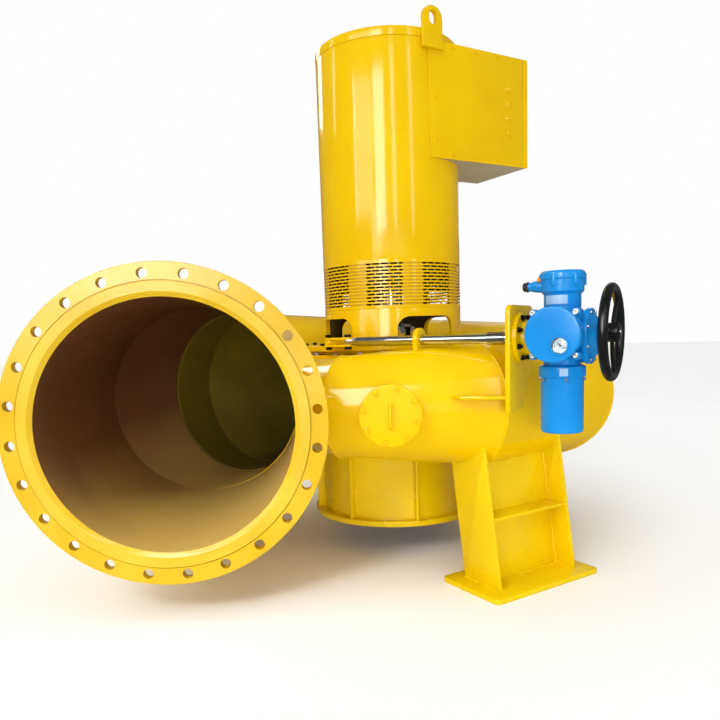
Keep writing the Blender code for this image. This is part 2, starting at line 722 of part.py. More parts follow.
def actuator_bracket(rod_frame, volume):
    outline = rounded_rectangle(PLATE_NEAR, PLATE_BOTTOM, PLATE_FAR, PLATE_TOP, (0.002, 0.002, 0.03, 0.03), 5)
    upright = Matrix.Rotation(math.pi / 2, 4, "Z") @ Matrix.Rotation(math.pi / 2, 4, "X")
    plate = prism("actuator_bracket", outline, PLATE_X, PLATE_X + PLATE_THICKNESS, "yellow_enamel",
                  rod_frame, upright)
    shelf = prism("bracket_shelf", [(PLATE_X + 0.004, -0.090), (PLATE_X + 0.004, 0.12), (0.50, 0.12),
                                    (0.50, 0.06)],
                  0.040, 0.050, "yellow_enamel", rod_frame)
    web_outline = [(PLATE_X + 0.004, 0.10), (PLATE_X + 0.004, 0.282), (0.60, 0.225), (0.56, 0.16)]
    web = prism("bracket_web", web_outline, -0.080, -0.070, "yellow_enamel", rod_frame,
                Matrix.Rotation(math.pi / 2, 4, "X"))
    fuse(plate, shelf, web)
    cut(plate, volume)
    cut(plate, lathe("plate_bore", disc_profile(ROD_BORE, 0.6, 0.8), "yellow_enamel", rod_frame,
                     along_x(0, 0, ROD_Z), sides=PIN_ROUND))


def actuator(rod_frame):
    axis = along_x(0, 0, ROD_Z)
    start = PLATE_X + PLATE_THICKNESS + TOUCH
    lathe("actuator_adaptor",
          [(ROD_BORE, start), (ADAPTOR_RADIUS, start), (ADAPTOR_RADIUS, start + 0.014),
           (0.058, start + 0.020), (0.056, ADAPTOR_END), (ROD_BORE, ADAPTOR_END)],
          "yellow_enamel", rod_frame, axis, sides=SMALL_ROUND)
    gearcase(rod_frame, axis)
    actuator_motor(rod_frame)
    actuator_head(rod_frame)
    front = along_y(MOTOR_X + 0.006, 0, ROD_Z + 0.010)
    cover_back = COVER_NEAR + 0.026
    rim = arc((COVER_RADIUS - 0.006, COVER_NEAR + 0.006), 0.006, 0, -math.pi / 2, 4)
    lathe("actuator_cover", [(0, cover_back), (COVER_RADIUS, cover_back)] + rim + [(0, COVER_NEAR)],
          "blue_enamel", rod_frame, front, sides=SMALL_ROUND)


def gearcase(rod_frame, axis):
    low = ADAPTOR_END + TOUCH
    profile = [(0, low), (0.060, low), (0.072, low + 0.012), (0.078, 0.930), (0.088, 0.936),
               (0.088, 0.952), (0.070, 0.958), (0.050, GEARCASE_END), (0, GEARCASE_END)]
    case = lathe("actuator_gearcase", profile, "blue_enamel", rod_frame, axis, sides=SMALL_ROUND)
    front = along_y(MOTOR_X + 0.006, 0, ROD_Z + 0.010)
    near = COVER_NEAR + 0.026 + TOUCH
    body = lathe("control_body", [(0, near), (COVER_RADIUS, near), (COVER_RADIUS, near + 0.016),
                                  (0.078, near + 0.022), (0.078, 0.062), (0.060, 0.078), (0, 0.078)],
                 "blue_enamel", rod_frame, front, sides=SMALL_ROUND)
    post = lathe("gearcase_post", disc_profile(0.058, ROD_Z - 0.088, ROD_Z + 0.098), "blue_enamel",
                 rod_frame, Matrix.Translation((MOTOR_X, 0, 0)), sides=SMALL_ROUND)
    fuse(case, body, post)
    cut(case, lathe("stem_room", disc_profile(ROD_BORE, low - 0.1, ROD_END + ROD_STROKE + 0.012),
                    "blue_enamel", rod_frame, axis, sides=PIN_ROUND))


def actuator_motor(rod_frame):
    top = ROD_Z - 0.088 - TOUCH
    bottom = -0.072
    band = MOTOR_RADIUS + 0.006
    foot = arc((MOTOR_RADIUS - 0.010, bottom + 0.010), 0.010, 0, -math.pi / 2, 4)
    profile = [(0, top), (0.060, top), (band, top - 0.006), (band, top - 0.038),
               (MOTOR_RADIUS, top - 0.041)] + foot + [(0, bottom)]
    lathe("actuator_motor", profile, "blue_enamel", rod_frame, Matrix.Translation((MOTOR_X, 0, 0)),
          sides=SMALL_ROUND)


def actuator_head(rod_frame):
    low = ROD_Z + 0.098 + TOUCH
    place = Matrix.Translation((MOTOR_X, 0, 0))
    profile = [(0, low), (0.058, low), (0.058, 0.372), (0.067, 0.380), (0.067, 0.418), (0.071, 0.420),
               (0.071, 0.436), (0.064, 0.445), (0, 0.445)]
    head = lathe("actuator_head", profile, "blue_enamel", rod_frame, place, sides=SMALL_ROUND)
    horn = lathe("head_horn", [(0, 0.03), (0.026, 0.03), (0.017, 0.092), (0.014, 0.094), (0.014, 0.124),
                               (0, 0.124)],
                 "blue_enamel", rod_frame, along_x(MOTOR_X, -0.012, 0.400) @ Matrix.Rotation(math.pi, 4, "X"),
                 sides=PIN_ROUND)
    fuse(head, horn)


def handwheel(wheel):
    """Rim, spokes and hub about local Z, which lies along the rod."""
    rim_radius = WHEEL_RADIUS - WHEEL_RIM
    rim_outline = arc((rim_radius, 0), WHEEL_RIM, 0, 2 * math.pi, 8)[:-1]
    body = lathe("handwheel", rim_outline, "black_plastic", wheel, sides=HIDDEN_ROUND)
    hub_low = GEARCASE_END + RUNNING - WHEEL_X
    hub = lathe("wheel_hub", [(0, hub_low), (0.030, hub_low), (0.030, 0.020), (0.022, 0.026), (0, 0.026)],
                "black_plastic", wheel, sides=PIN_ROUND)
    spokes = []
    for k in range(WHEEL_SPOKES):
        turn = Matrix.Rotation(2 * math.pi * k / WHEEL_SPOKES + math.radians(20), 4, "Z")
        spokes.append(box(f"wheel_spoke_{k}", (0.015, -0.012, -0.006), (rim_radius, 0.012, 0.006),
                          "black_plastic", wheel, turn))
    fuse(body, hub, *spokes)


def regulating_rod(rod):
    """Polished rod with its eye end at -x; the rod's frame sits on its own axis."""
    axis = along_x()
    profile = [(0, EYE_X + 0.019), (0.011, EYE_X + 0.020), (ROD_RADIUS, EYE_X + 0.045),
               (ROD_RADIUS, THREAD_START), (THREAD_RADIUS, THREAD_START), (THREAD_RADIUS, THREAD_END),
               (ROD_RADIUS, THREAD_END), (ROD_RADIUS, ROD_END), (0, ROD_END)]
    body = lathe("regulating_rod", profile, "bright_steel", rod, axis, sides=PIN_ROUND)
    half = 0.016
    outline = [(EYE_X + 0.034, -0.011), (EYE_X + 0.034, 0.011)] + arc(
        (EYE_X, 0), half, math.pi / 3, 2 * math.pi - math.pi / 3, 12)
    eye = prism("rod_eye", outline, -EYE_HALF, EYE_HALF, "bright_steel", rod)
    fuse(body, eye)
    cut(body, lathe("eye_bore", disc_profile(PIN_RADIUS + RUNNING, -0.05, 0.05), "bright_steel", rod,
                    Matrix.Translation((EYE_X, 0, 0)), sides=PIN_ROUND))


def link(link_frame):
    """Two plates on the rod's pin; the far end has play about the ring's pin."""
    reach = EYE_X - RING_PIN_X
    play = PIN_RADIUS + RING_PIN_PLAY
    half = LINK_HALF_WIDTH
    outline = arc((0, 0), half, -math.pi / 2, math.pi / 2, 8) + arc(
        (-reach, 0), half, math.pi / 2, 3 * math.pi / 2, 8)
    gap = EYE_HALF + RUNNING
    upper = prism("link_plates", outline, gap, gap + LINK_PLATE, "yellow_enamel", link_frame)
    lower = prism("link_lower", outline, -gap - LINK_PLATE, -gap, "yellow_enamel", link_frame)
    end = gap + LINK_PLATE
    profile = [(0, -end - 0.012), (0.014, -end - 0.012), (0.014, -end + 0.001), (PIN_RADIUS, -end + 0.001),
               (PIN_RADIUS, end - 0.001), (0.014, end - 0.001), (0.014, end + 0.012), (0, end + 0.012)]
    pin = lathe("link_pin", profile, "bright_steel", link_frame, sides=PIN_ROUND)
    fuse(upper, lower, pin)
    cut(upper, lathe("ring_pin_play", disc_profile(play, -0.06, 0.06), "bright_steel", link_frame,
                     Matrix.Translation((-reach, 0, 0)), sides=PIN_ROUND))


def regulating_ring(ring):
    """Ring about the axis with the arm and pin that the link takes hold of."""
    body = lathe("regulating_ring", tube_profile(REG_INNER, REG_OUTER, REG_BOTTOM, REG_TOP),
                 "yellow_enamel", ring)
    pin_radius = math.hypot(ROD_DISTANCE, RING_PIN_X)
    pin_azimuth = ROD_TURN - math.pi / 2 + math.atan2(RING_PIN_X, ROD_DISTANCE)
    place = spoke(pin_azimuth)
    top, low = ROD_Z + EYE_HALF, ROD_Z - EYE_HALF
    outline = [(0.345, -0.040), (0.402, -0.040)] + arc((pin_radius, 0), 0.0165, -math.pi / 3, math.pi / 3, 6)
    outline += [(0.402, 0.040), (0.345, 0.040)]
    arm = prism("ring_arm", outline, low, top, "yellow_enamel", ring, place)
    riser = box("arm_riser", (0.345, -0.040, REG_TOP - 0.004), (0.402, 0.040, top), "yellow_enamel", ring,
                place)
    end = EYE_HALF + RUNNING + LINK_PLATE + 0.0012
    head = PIN_RADIUS + RING_PIN_PLAY + 0.004
    profile = [(0, -end - 0.011), (head, -end - 0.011), (head, -end), (PIN_RADIUS, -end), (PIN_RADIUS, end),
               (head, end), (head, end + 0.011), (0, end + 0.011)]
    pin = lathe("ring_pin", profile, "bright_steel", ring,
                place @ Matrix.Translation((pin_radius, 0, ROD_Z)), sides=PIN_ROUND)
    fuse(body, riser, arm, pin)


def build():
    for old in list(bpy.data.objects):
        bpy.data.objects.remove(old, do_unlink=True)
    case = add_frame("turbine_axis", (AXIS_X, AXIS_Y, PIPE_HEIGHT))
    pipe_volume = inlet(case)
    volume = case_cutter(case)
    courses = spiral_case(case)
    cut(courses[-1], pipe_volume)
    cut(courses[-2], pipe_volume)
    stay_ring(case)
    gate_ring(case)
    head_cover(case)
    runner_chamber(case)
    generator(case)
    box_room = terminal_box(case)
    for number, azimuth in enumerate(LUG_AZIMUTHS, 1):
        lifting_lug(f"lifting_lug_{number}", azimuth, case, box_room)
    handhole(case, volume)
    legs(case, volume, pipe_volume)

    foot = Vector((math.sin(ROD_TURN), -math.cos(ROD_TURN), 0)) * ROD_DISTANCE
    rod_frame = add_frame("rod_line", foot, ROD_TURN, case)
    guide_bracket(rod_frame, volume)
    actuator_bracket(rod_frame, volume)
    actuator(rod_frame)
    rod = add_frame("rod_slide", (0, 0, ROD_Z), 0, rod_frame)
    regulating_rod(rod)
    link(add_frame("link_pivot", (EYE_X, 0, 0), 0, rod))
    wheel = add_frame("wheel_axis", (WHEEL_X, 0, ROD_Z + 0.010), 0, rod_frame)
    wheel.rotation_euler = (0, math.pi / 2, 0)
    handwheel(wheel)
    regulating_ring(add_frame("ring_axis", (0, 0, 0), 0, case))
    rotor = add_frame("rotor_axis", (0, 0, 0), 0, case)
    shaft(rotor)
    runner(rotor)


build()
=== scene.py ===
from math import asin, atan2, cos, degrees, exp, hypot, pi, radians, sin, sqrt, tan

import bmesh
import bpy
from mathutils import Matrix, Vector
from mathutils.bvhtree import BVHTree


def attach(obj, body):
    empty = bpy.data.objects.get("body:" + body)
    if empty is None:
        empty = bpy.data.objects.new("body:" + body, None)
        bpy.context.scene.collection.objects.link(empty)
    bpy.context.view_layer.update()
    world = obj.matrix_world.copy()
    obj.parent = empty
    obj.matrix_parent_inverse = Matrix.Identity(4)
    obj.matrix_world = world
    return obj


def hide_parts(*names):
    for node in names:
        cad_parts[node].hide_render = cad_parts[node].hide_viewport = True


# Looks of a small vertical Kaplan turbine with its generator. Metres, +Z up, floor at z = 0.
print("loading the packed unit")
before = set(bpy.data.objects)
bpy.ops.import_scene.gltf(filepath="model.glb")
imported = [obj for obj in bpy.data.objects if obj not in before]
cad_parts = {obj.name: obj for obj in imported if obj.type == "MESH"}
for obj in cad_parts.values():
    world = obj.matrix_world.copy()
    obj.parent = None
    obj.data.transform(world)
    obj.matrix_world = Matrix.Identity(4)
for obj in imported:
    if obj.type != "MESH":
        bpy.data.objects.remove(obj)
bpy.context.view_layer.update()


def move(x=0.0, y=0.0, z=0.0):
    return Matrix.Translation((x, y, z))


def spin(axis, angle):
    return Matrix.Rotation(radians(angle), 4, axis)  # angle in degrees


def spoke(azimuth, radius=0.0, z=0.0):
    # place whose x points away from the turbine axis; azimuth in degrees
    return spin("Z", azimuth) @ move(radius, 0, z)


def evenly(count, start, radius=0.0, z=0.0, facingOut=True):
    # places spaced evenly round a circle, the first of them at start degrees
    for k in range(count):
        place = spoke(start + 360 * k / count, radius, z)
        yield place if facingOut else Matrix.Translation(place.translation)


# Most pieces are drawn about the turbine axis, with z = 0 at the height of the inlet pipe
turbineAxis = move(0.1976, -0.0100, 0.650)
pipeSpot = move(-0.826) @ spin("X", -90)
pipeLine = turbineAxis @ pipeSpot
rodTurn, rodOffset = -35, 0.450
rodSpot = spin("Z", rodTurn) @ move(0, -rodOffset)  # x runs along the rod, away from the link
rodLine = turbineAxis @ rodSpot
facing = spin("Y", 90)  # a turned piece's own z becomes x
upright = spin("Z", 90) @ spin("X", 90)
upsideDown = Matrix.Diagonal((1, 1, -1, 1))


def toLinear(hexColour):
    channels = [int(hexColour[k:k + 2], 16) / 255 for k in (1, 3, 5)]
    return [c / 12.92 if c <= 0.04045 else ((c + 0.055) / 1.055) ** 2.4 for c in channels] + [1.0]


def addNode(tree, kind, settings, links=()):
    # lower-case keys are the node's own settings, the others are its sockets
    node = tree.nodes.new(kind)
    for key, value in settings.items():
        if isinstance(key, str) and key[0].islower():
            setattr(node, key, value)
        else:
            node.inputs[key].default_value = value
    for socket, source in dict(links).items():
        tree.links.new(source, node.inputs[socket])
    return node


def patchColour(tree, shader, place, size, dark, light, low=0.35, high=0.65, detail=3):
    # cloudy change between two colours, one cloud about size metres across
    cloud = addNode(tree, "ShaderNodeTexNoise", {"Scale": 1 / size, "Detail": detail}, {"Vector": place})
    ramp = addNode(tree, "ShaderNodeValToRGB", {}, {"Fac": cloud.outputs["Fac"]})
    for stop, position, colour in zip(ramp.color_ramp.elements, (low, high), (dark, light)):
        stop.position, stop.color = position, toLinear(colour)
    tree.links.new(ramp.outputs["Color"], shader.inputs["Base Color"])


def patchGloss(tree, shader, place, size, low, high):
    cloud = addNode(tree, "ShaderNodeTexNoise", {"Scale": 1 / size, "Detail": 4}, {"Vector": place})
    spread = addNode(tree, "ShaderNodeMapRange", {"From Min": 0.3, "From Max": 0.7, "To Min": low,
                                                  "To Max": high}, {"Value": cloud.outputs["Fac"]})
    tree.links.new(spread.outputs["Result"], shader.inputs["Roughness"])


def relief(tree, shader, place, layers):
    # bumps over one another; each has the size of one bump, detail, depth and strength, in metres
    below = {}
    for size, detail, depth, strength in layers:
        bumps = addNode(tree, "ShaderNodeTexNoise", {"Scale": 1 / size, "Detail": detail}, {"Vector": place})
        bump = addNode(tree, "ShaderNodeBump", {"Distance": depth, "Strength": strength},
                       {"Height": bumps.outputs["Fac"], **below})
        below = {"Normal": bump.outputs["Normal"]}
    tree.links.new(below["Normal"], shader.inputs["Normal"])


def mixFinish(name, settings, colour=(), gloss=(), layers=(), stretch=()):
    # settings are the shader's own values, the rest goes to the three functions above
    material = bpy.data.materials.new(name)
    material.use_nodes = True
    tree = material.node_tree
    shader = tree.nodes["Principled BSDF"]
    for key, value in settings.items():
        shader.inputs[key].default_value = value
    place = addNode(tree, "ShaderNodeTexCoord", {}).outputs["Object"]
    if colour:
        patchColour(tree, shader, place, *colour)
    if gloss:
        patchGloss(tree, shader, place, *gloss)
    if stretch:  # marks that are longer one way than the other
        place = addNode(tree, "ShaderNodeMapping", {"Scale": stretch}, {"Vector": place}).outputs["Vector"]
    if layers:
        relief(tree, shader, place, layers)
    return material


def enamelMaterial(name, dark, light, peel, rough):
    # sprayed two-pack gloss enamel: deep even colour, wet gloss, faint orange peel, plates a little wavy;
    # real peel is 2 mm from crest to crest, drawn at about three times that, or it would not show
    return mixFinish(name, {"IOR": 1.40}, (0.22, dark, light), (0.07, rough - 0.03, rough + 0.04),
                     ((0.30, 1.0, 0.0025, 0.35), (peel, 1.5, 0.0006, 0.16)))


def primerMaterial(name, dark, light, rough):
    # brushed primer: dull, streaky, thicker and thinner in hand-sized patches
    return mixFinish(name, {"IOR": 1.48}, (0.25, dark, light, 0.25, 0.75, 4),
                     (0.05, rough - 0.04, rough + 0.06), ((1 / 6, 3, 0.0006, 0.2),), (60, 12, 60))


def turnedMetal(name, dark, light, rough, grain, depth, direction=(1, 1, 1)):
    # bare metal with tool marks: noise squeezed along one direction, crest to crest = grain
    return mixFinish(name, {"Metallic": 1.0}, (0.05, dark, light, 0.3, 0.7),
                     (0.015, rough - 0.05, rough + 0.08), ((grain, 2, depth, 0.4),), direction)


def plasticMaterial(name, dark, light, rough):
    # injection-moulded plastic: even colour, smooth with a faint moulded grain
    return mixFinish(name, {"IOR": 1.46}, (0.08, dark, light), (0.03, rough - 0.03, rough + 0.05),
                     ((0.003, 2.0, 0.0003, 0.2),))


print("mixing the materials")
# gloss enamel on welded steel: saturated yellow, sharp window-like highlights
yellowEnamel = enamelMaterial("yellow gloss enamel", "#E4B700", "#EAC000", 0.007, 0.11)
# the same enamel over turned grooves: catches the light in thin rings; its colour is also painted paler and
# greyer than the yellow, a painted sheen
turnedSheenEnamel = enamelMaterial("enamel over turned grooves, painted sheen", "#CDA623", "#D6B133", 0.012, 0.20)
# the flange's own coat, paler and a little greyer than the yellow: a painted sheen
sheenFlangeEnamel = enamelMaterial("enamel paled by painted sheen", "#CBA217", "#D2AC28", 0.007, 0.17)
# the same enamel put on by brush, on legs and chamber: the gloss spreads, no sharp mirror
brushedEnamel = enamelMaterial("brushed yellow enamel", "#E8C300", "#EFCC04", 0.010, 0.25)
# enamel in the vent's pressed grooves, darker amber: painted shade in the groove floors
grooveShadeEnamel = enamelMaterial("enamel with painted groove shade", "#C29604", "#CDA208", 0.007, 0.26)
# powder coat on cast aluminium: clear mid blue, slightly softer gloss
blueEnamel = enamelMaterial("blue powder coat", "#0E80CC", "#168DD8", 0.005, 0.16)
# red-oxide primer inside the chamber: dull warm brown that turns almost black in shade
redPrimer = primerMaterial("red-oxide primer", "#84542C", "#A06C38", 0.42)
# the same primer in the stand and round the vents, made nearly black: painted shade
shadePrimer = primerMaterial("near-black primer as painted shade", "#24140C", "#38200F", 0.45)
# olive on the stay ring, the gates and the case's inside: a darkened copy of the yellow, painted shade, as
# dull as the primer
oliveShadePrimer = primerMaterial("olive yellow as painted shade", "#6E5E10", "#8C7A1A", 0.48)
# grey on the box's underside: flat and pale
undersideGrey = primerMaterial("grey underside", "#A8A28C", "#B6B09A", 0.50)
# hard-chromed and ground bar: bright streak along it; marks of 0.4 mm, drawn three times as coarse
groundSteel = turnedMetal("ground chromed steel", "#B4BABD", "#D2D6D8", 0.14, 0.0012, 0.00004)
# zinc-plated fasteners: grey-white, satin, a little cloudy
zincSteel = turnedMetal("zinc-plated steel", "#A4A6A2", "#C9CAC6", 0.32, 0.004, 0.00008)
# oiled black-oxide fasteners: charcoal with a dull shine
blackSteel = turnedMetal("black-oxide steel", "#1B1A19", "#34312E", 0.38, 0.004, 0.00008)
# aluminium bronze runner, milled and hand ground: warm, soft scratches
runnerBronze = turnedMetal("ground aluminium bronze", "#A5763A", "#C7985A", 0.30, 0.003, 0.00010,
                           (1, 1, 6))
# spun dial: pale, fine turning marks that blur the light
dialSilver = turnedMetal("spun silver dial", "#C8CCCE", "#E6E9EA", 0.28, 0.002, 0.00005)
# pressed and polished phenolic: deep black with a hard gloss
blackPlastic = plasticMaterial("black phenolic", "#0A0B0B", "#141615", 0.22)
# moulded nylon: bright orange, soft shine
orangePlastic = plasticMaterial("orange nylon", "#D9731A", "#EE8A2A", 0.35)
# bare nameplates: pale blue, sealed and smooth as plastic
plateFilm = plasticMaterial("pale blue anodised plate", "#8FB9DE", "#A9CBE8", 0.30)
# pressed glass over the dial: clear, barely rippled
glass = mixFinish("dial window glass", {"Base Color": toLinear("#F2F8FA"), "Transmission Weight": 1.0,
                                        "Roughness": 0.02, "IOR": 1.5}, layers=((0.02, 1.0, 0.0002, 0.1),))
# painted studio floor: white and matt
floorPaint = mixFinish("pale studio floor", {"IOR": 1.45}, (0.9, "#FCFCFB", "#FEFEFD"), (0.3, 0.75, 0.85))

# the inlet pipe: the same brown primer, painted lighter tan on its lower right wall: painted light falling in
# through the mouth
pipePrimerPaintedLight = mixFinish("primer with painted light", {"IOR": 1.48}, (), (0.05, 0.34, 0.44),
                       ((0.02, 2.0, 0.0004, 0.2),))
pipeTree = pipePrimerPaintedLight.node_tree
wallSpot = pipeTree.nodes["Texture Coordinate"].outputs["Object"]
towardsLitWall = addNode(pipeTree, "ShaderNodeVectorMath", {"operation": "DOT_PRODUCT", 1: (0.42, 0.0, -0.91)},
               {0: wallSpot})
litEdgeNoise = addNode(pipeTree, "ShaderNodeTexNoise", {"Scale": 5.0, "Detail": 3}, {"Vector": wallSpot})
litNoisy = addNode(pipeTree, "ShaderNodeMath", {"operation": "MULTIPLY_ADD", 1: 0.16},
                {0: litEdgeNoise.outputs["Fac"], 2: towardsLitWall.outputs["Value"]})
# the pipe's axis reads -0.855 along that slope, half a noise step added
litShare = addNode(pipeTree, "ShaderNodeMapRange", {"From Min": -1.05, "From Max": -0.50},
                  {"Value": litNoisy.outputs["Value"]})
# dark brown above, tan on the lower right wall where light falls: painted light
paintedLightRamp = addNode(pipeTree, "ShaderNodeValToRGB", {}, {"Fac": litShare.outputs["Result"]})
paintedLightRamp.color_ramp.elements[0].color = toLinear("#6A4028")
paintedLightRamp.color_ramp.elements[1].color = toLinear("#D6B05C")
paintedLightRamp.color_ramp.elements.new(0.38).color = toLinear("#835838")
pipeTree.links.new(paintedLightRamp.outputs["Color"], pipeTree.nodes["Principled BSDF"].inputs["Base Color"])


def toObject(bm, name="carving"):
    bmesh.ops.recalc_face_normals(bm, faces=bm.faces)
    mesh = bpy.data.meshes.new(name)
    bm.to_mesh(mesh)
    bm.free()
    piece = bpy.data.objects.new(name, mesh)
    bpy.context.scene.collection.objects.link(piece)
    return piece


def discard(piece):
    data = piece.data
    bpy.data.objects.remove(piece)
    bpy.data.meshes.remove(data)


def smoothByAngle(mesh, angle):
    mesh.shade_smooth()
    mesh.set_sharp_from_angle(angle=radians(angle))


def makePiece(name, bm, material, replaced=None, place=turbineAxis, angle=32, others=(), body="unit"):
    # a finished piece that rides on a body; others = materials of the faces with index 1 and 2
    piece = toObject(bm, name)
    piece.data.transform(place)
    for finish in (material, *others):
        piece.data.materials.append(finish)
    smoothByAngle(piece.data, angle)
    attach(piece, body)
    if replaced:
        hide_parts(replaced)


def placed(bm, place):
    bmesh.ops.transform(bm, matrix=place, verts=bm.verts)
    return bm


def merge(bm, part, place=Matrix()):
    # adds a part to a bmesh
    bmesh.ops.recalc_face_normals(part, faces=part.faces)
    mesh = bpy.data.meshes.new("part")
    part.to_mesh(mesh)
    part.free()
    mesh.transform(place)
    bm.from_mesh(mesh)
    bpy.data.meshes.remove(mesh)
    return bm


def repeated(part, places):
    # the same part at every place, as one bmesh
    bm = bmesh.new()
    for place in places:
        merge(bm, part.copy(), place)
    part.free()
    return bm


def fasten(name, screw, places, material, place=turbineAxis, body="unit"):
    # the same bolt or screw at every place, as one piece
    makePiece(name, repeated(screw, places), material, place=place, body=body)


def carve(bm, tool):
    # exact cut of one closed body out of another; a tool that is an object stays for the next cut
    piece = toObject(bm)
    cutter = tool if isinstance(tool, bpy.types.Object) else toObject(tool)
    modifier = piece.modifiers.new("carve", "BOOLEAN")
    modifier.operation, modifier.solver, modifier.object = "DIFFERENCE", "EXACT", cutter
    graph = bpy.context.evaluated_depsgraph_get()
    mesh = bpy.data.meshes.new_from_object(piece.evaluated_get(graph))
    result = bmesh.new()
    result.from_mesh(mesh)
    bpy.data.meshes.remove(mesh)
    discard(piece)
    if cutter != tool:
        discard(cutter)
    return result


def paint(bm, index, test):
    # gives the faces that pass test(centre, face) another material
    for face in bm.faces:
        if test(face.calc_center_median(), face):
            face.material_index = index


def rounded(profile, radius, steps=3):
    # rounds the corners of a closed outline; radius is one number or one for each corner
    result = []
    for k, corner in enumerate(profile):
        size = radius[k] if isinstance(radius, (list, tuple)) else radius
        here = Vector(corner)
        before = Vector(profile[k - 1]) - here
        after = Vector(profile[(k + 1) % len(profile)]) - here
        onPole = corner[0] == 0 or min(before.length, after.length) < 1e-7
        turn = before.angle(after, pi) if not onPole else pi
        if size == 0 or onPole or turn > radians(165):
            result.append(tuple(here))
            continue
        reach = min(size / tan(turn / 2), before.length * 0.45, after.length * 0.45)
        start, end = here + before.normalized() * reach, here + after.normalized() * reach
        for step in range(steps + 1):
            t = step / steps
            result.append(tuple((1 - t) ** 2 * start + 2 * t * (1 - t) * here + t * t * end))
    return result


def lathe(profile, sides, edge=0.0, steps=3, skin=(), turn=0.0):
    # closed (radius, height) outline turned about z; skin = strips that get the second material
    bm = bmesh.new()
    rings = []
    for radius, height in rounded(profile, edge, steps) if edge else profile:
        angles = [turn + 2 * pi * k / sides for k in range(sides if radius else 1)]
        rings.append([bm.verts.new((radius * cos(a), radius * sin(a), height)) for a in angles])
    for number, (first, second) in enumerate(zip(rings, rings[1:] + rings[:1])):
        for k in range(sides if len(first) + len(second) > 2 else 0):
            corners = [first[k % len(first)], first[(k + 1) % len(first)],
                       second[(k + 1) % len(second)], second[k % len(second)]]
            bm.faces.new(list(dict.fromkeys(corners))).material_index = int(number in skin)
    return bm


def tube(inner, outer, low, high, sides, edge=0.0, steps=3, skin=()):
    # turned ring, or a solid disc where inner is 0
    return lathe([(inner, low), (outer, low), (outer, high), (inner, high)], sides, edge, steps, skin)


def arc(centre, radius, start, end, steps):
    angles = [radians(start + (end - start) * k / steps) for k in range(steps + 1)]
    return [(centre[0] + radius * cos(a), centre[1] + radius * sin(a)) for a in angles]


def roundedBox(x0, y0, x1, y1, bottom, top, steps=10):
    # true quarter circles, with one radius for the two lower corners and one for the upper
    outline = []
    for number, (x, y, inX, inY, radius) in enumerate(((x0, y0, 1, 1, bottom), (x1, y0, -1, 1, bottom),
                                                       (x1, y1, -1, -1, top), (x0, y1, 1, -1, top))):
        start = 180 + 90 * number
        outline += arc((x + inX * radius, y + inY * radius), radius, start, start + 90, steps)
    return outline


def slab(outline, low, high, edge=0.0):
    # plate cut to an outline in x and y, with its sharp edges eased
    bm = bmesh.new()
    base = bm.faces.new([bm.verts.new((x, y, low)) for x, y in outline])
    raisedFaces = bmesh.ops.extrude_face_region(bm, geom=[base])["geom"]
    bmesh.ops.translate(bm, verts=[v for v in raisedFaces if isinstance(v, bmesh.types.BMVert)],
                        vec=(0, 0, high - low))
    bmesh.ops.recalc_face_normals(bm, faces=bm.faces)
    if edge:
        sharp = [e for e in bm.edges if e.calc_face_angle(0) > radians(30)]
        bmesh.ops.bevel(bm, geom=sharp, offset=edge, segments=2, profile=0.5, affect="EDGES",
                        clamp_overlap=True)
    return bm


def block(low, high, edge=0.0):
    (x0, y0, z0), (x1, y1, z1) = low, high
    return slab([(x0, y0), (x1, y0), (x1, y1), (x0, y1)], z0, z1, edge)


def boltHead(across, height, washer, wide):
    # hexagon head with its chamfered top, on a washer
    corner, top = across / sqrt(3), washer + height
    head = lathe([(0, washer), (corner, washer), (corner, washer + height * 0.86), (corner * 0.86, top),
                  (0, top)], 6, turn=pi / 6)
    return merge(tube(0, across * wide / 2 * 1.25, 0, washer, 20, 0.0004, 2), head)


def stud(radius, length):
    return lathe([(0, 0), (radius, 0), (radius, length - radius * 0.3), (radius * 0.75, length),
                  (0, length)], 14)


def capScrew(radius, height):
    # round head with a hexagon socket sunk in it
    socket = radius * 0.45
    outer = rounded([(0, 0), (radius, 0), (radius, height), (socket, height)], 0.0006, 2)
    return lathe(outer + [(socket, height * 0.45), (0, height * 0.45)], 18)


def sweep(points, radius, sides=8, closed=False, ripple=0.0, pitch=0.012):
    # round bar along a line of points; ripple makes the scales of a weld bead
    bm = bmesh.new()
    points = [Vector(p) for p in points]
    count = len(points)
    rings, travelled, up = [], 0.0, None
    for k, point in enumerate(points):
        after = points[(k + 1) % count] if closed or k + 1 < count else point
        before = points[k - 1] if closed or k > 0 else point
        along = (after - before).normalized()
        if up is None:
            up = Vector((0, 0, 1)) if abs(along.z) < 0.9 else Vector((1, 0, 0))
        side = along.cross(up).normalized()
        up = side.cross(along).normalized()
        if k:
            travelled += (point - points[k - 1]).length
        size = radius * (1 + ripple * sin(2 * pi * travelled / pitch))
        angles = [2 * pi * s / sides for s in range(sides)]
        rings.append([bm.verts.new(point + side * cos(a) * size + up * sin(a) * size) for a in angles])
    for first, second in zip(rings, rings[1:] + (rings[:1] if closed else [])):
        bridge(bm, first + first[:1], second + second[:1])
    if not closed:
        bm.faces.new(rings[0])
        bm.faces.new(rings[-1])
    return bm


def ringWeld(radius, z, count, bead, pitch=0.015):
    circle = [(radius * cos(a), radius * sin(a), z) for a in (2 * pi * k / count for k in range(count))]
    return sweep(circle, bead, 8, True, 0.08, pitch)


def straightWeld(first, last, bead, pitch=0.013):
    steps = max(1, round((last - first).length / 0.004))
    return sweep([first.lerp(last, k / steps) for k in range(steps + 1)], bead, 7, ripple=0.1, pitch=pitch)


def bridge(bm, first, second):
    for k in range(len(first) - 1):
        bm.faces.new((first[k], first[k + 1], second[k + 1], second[k]))


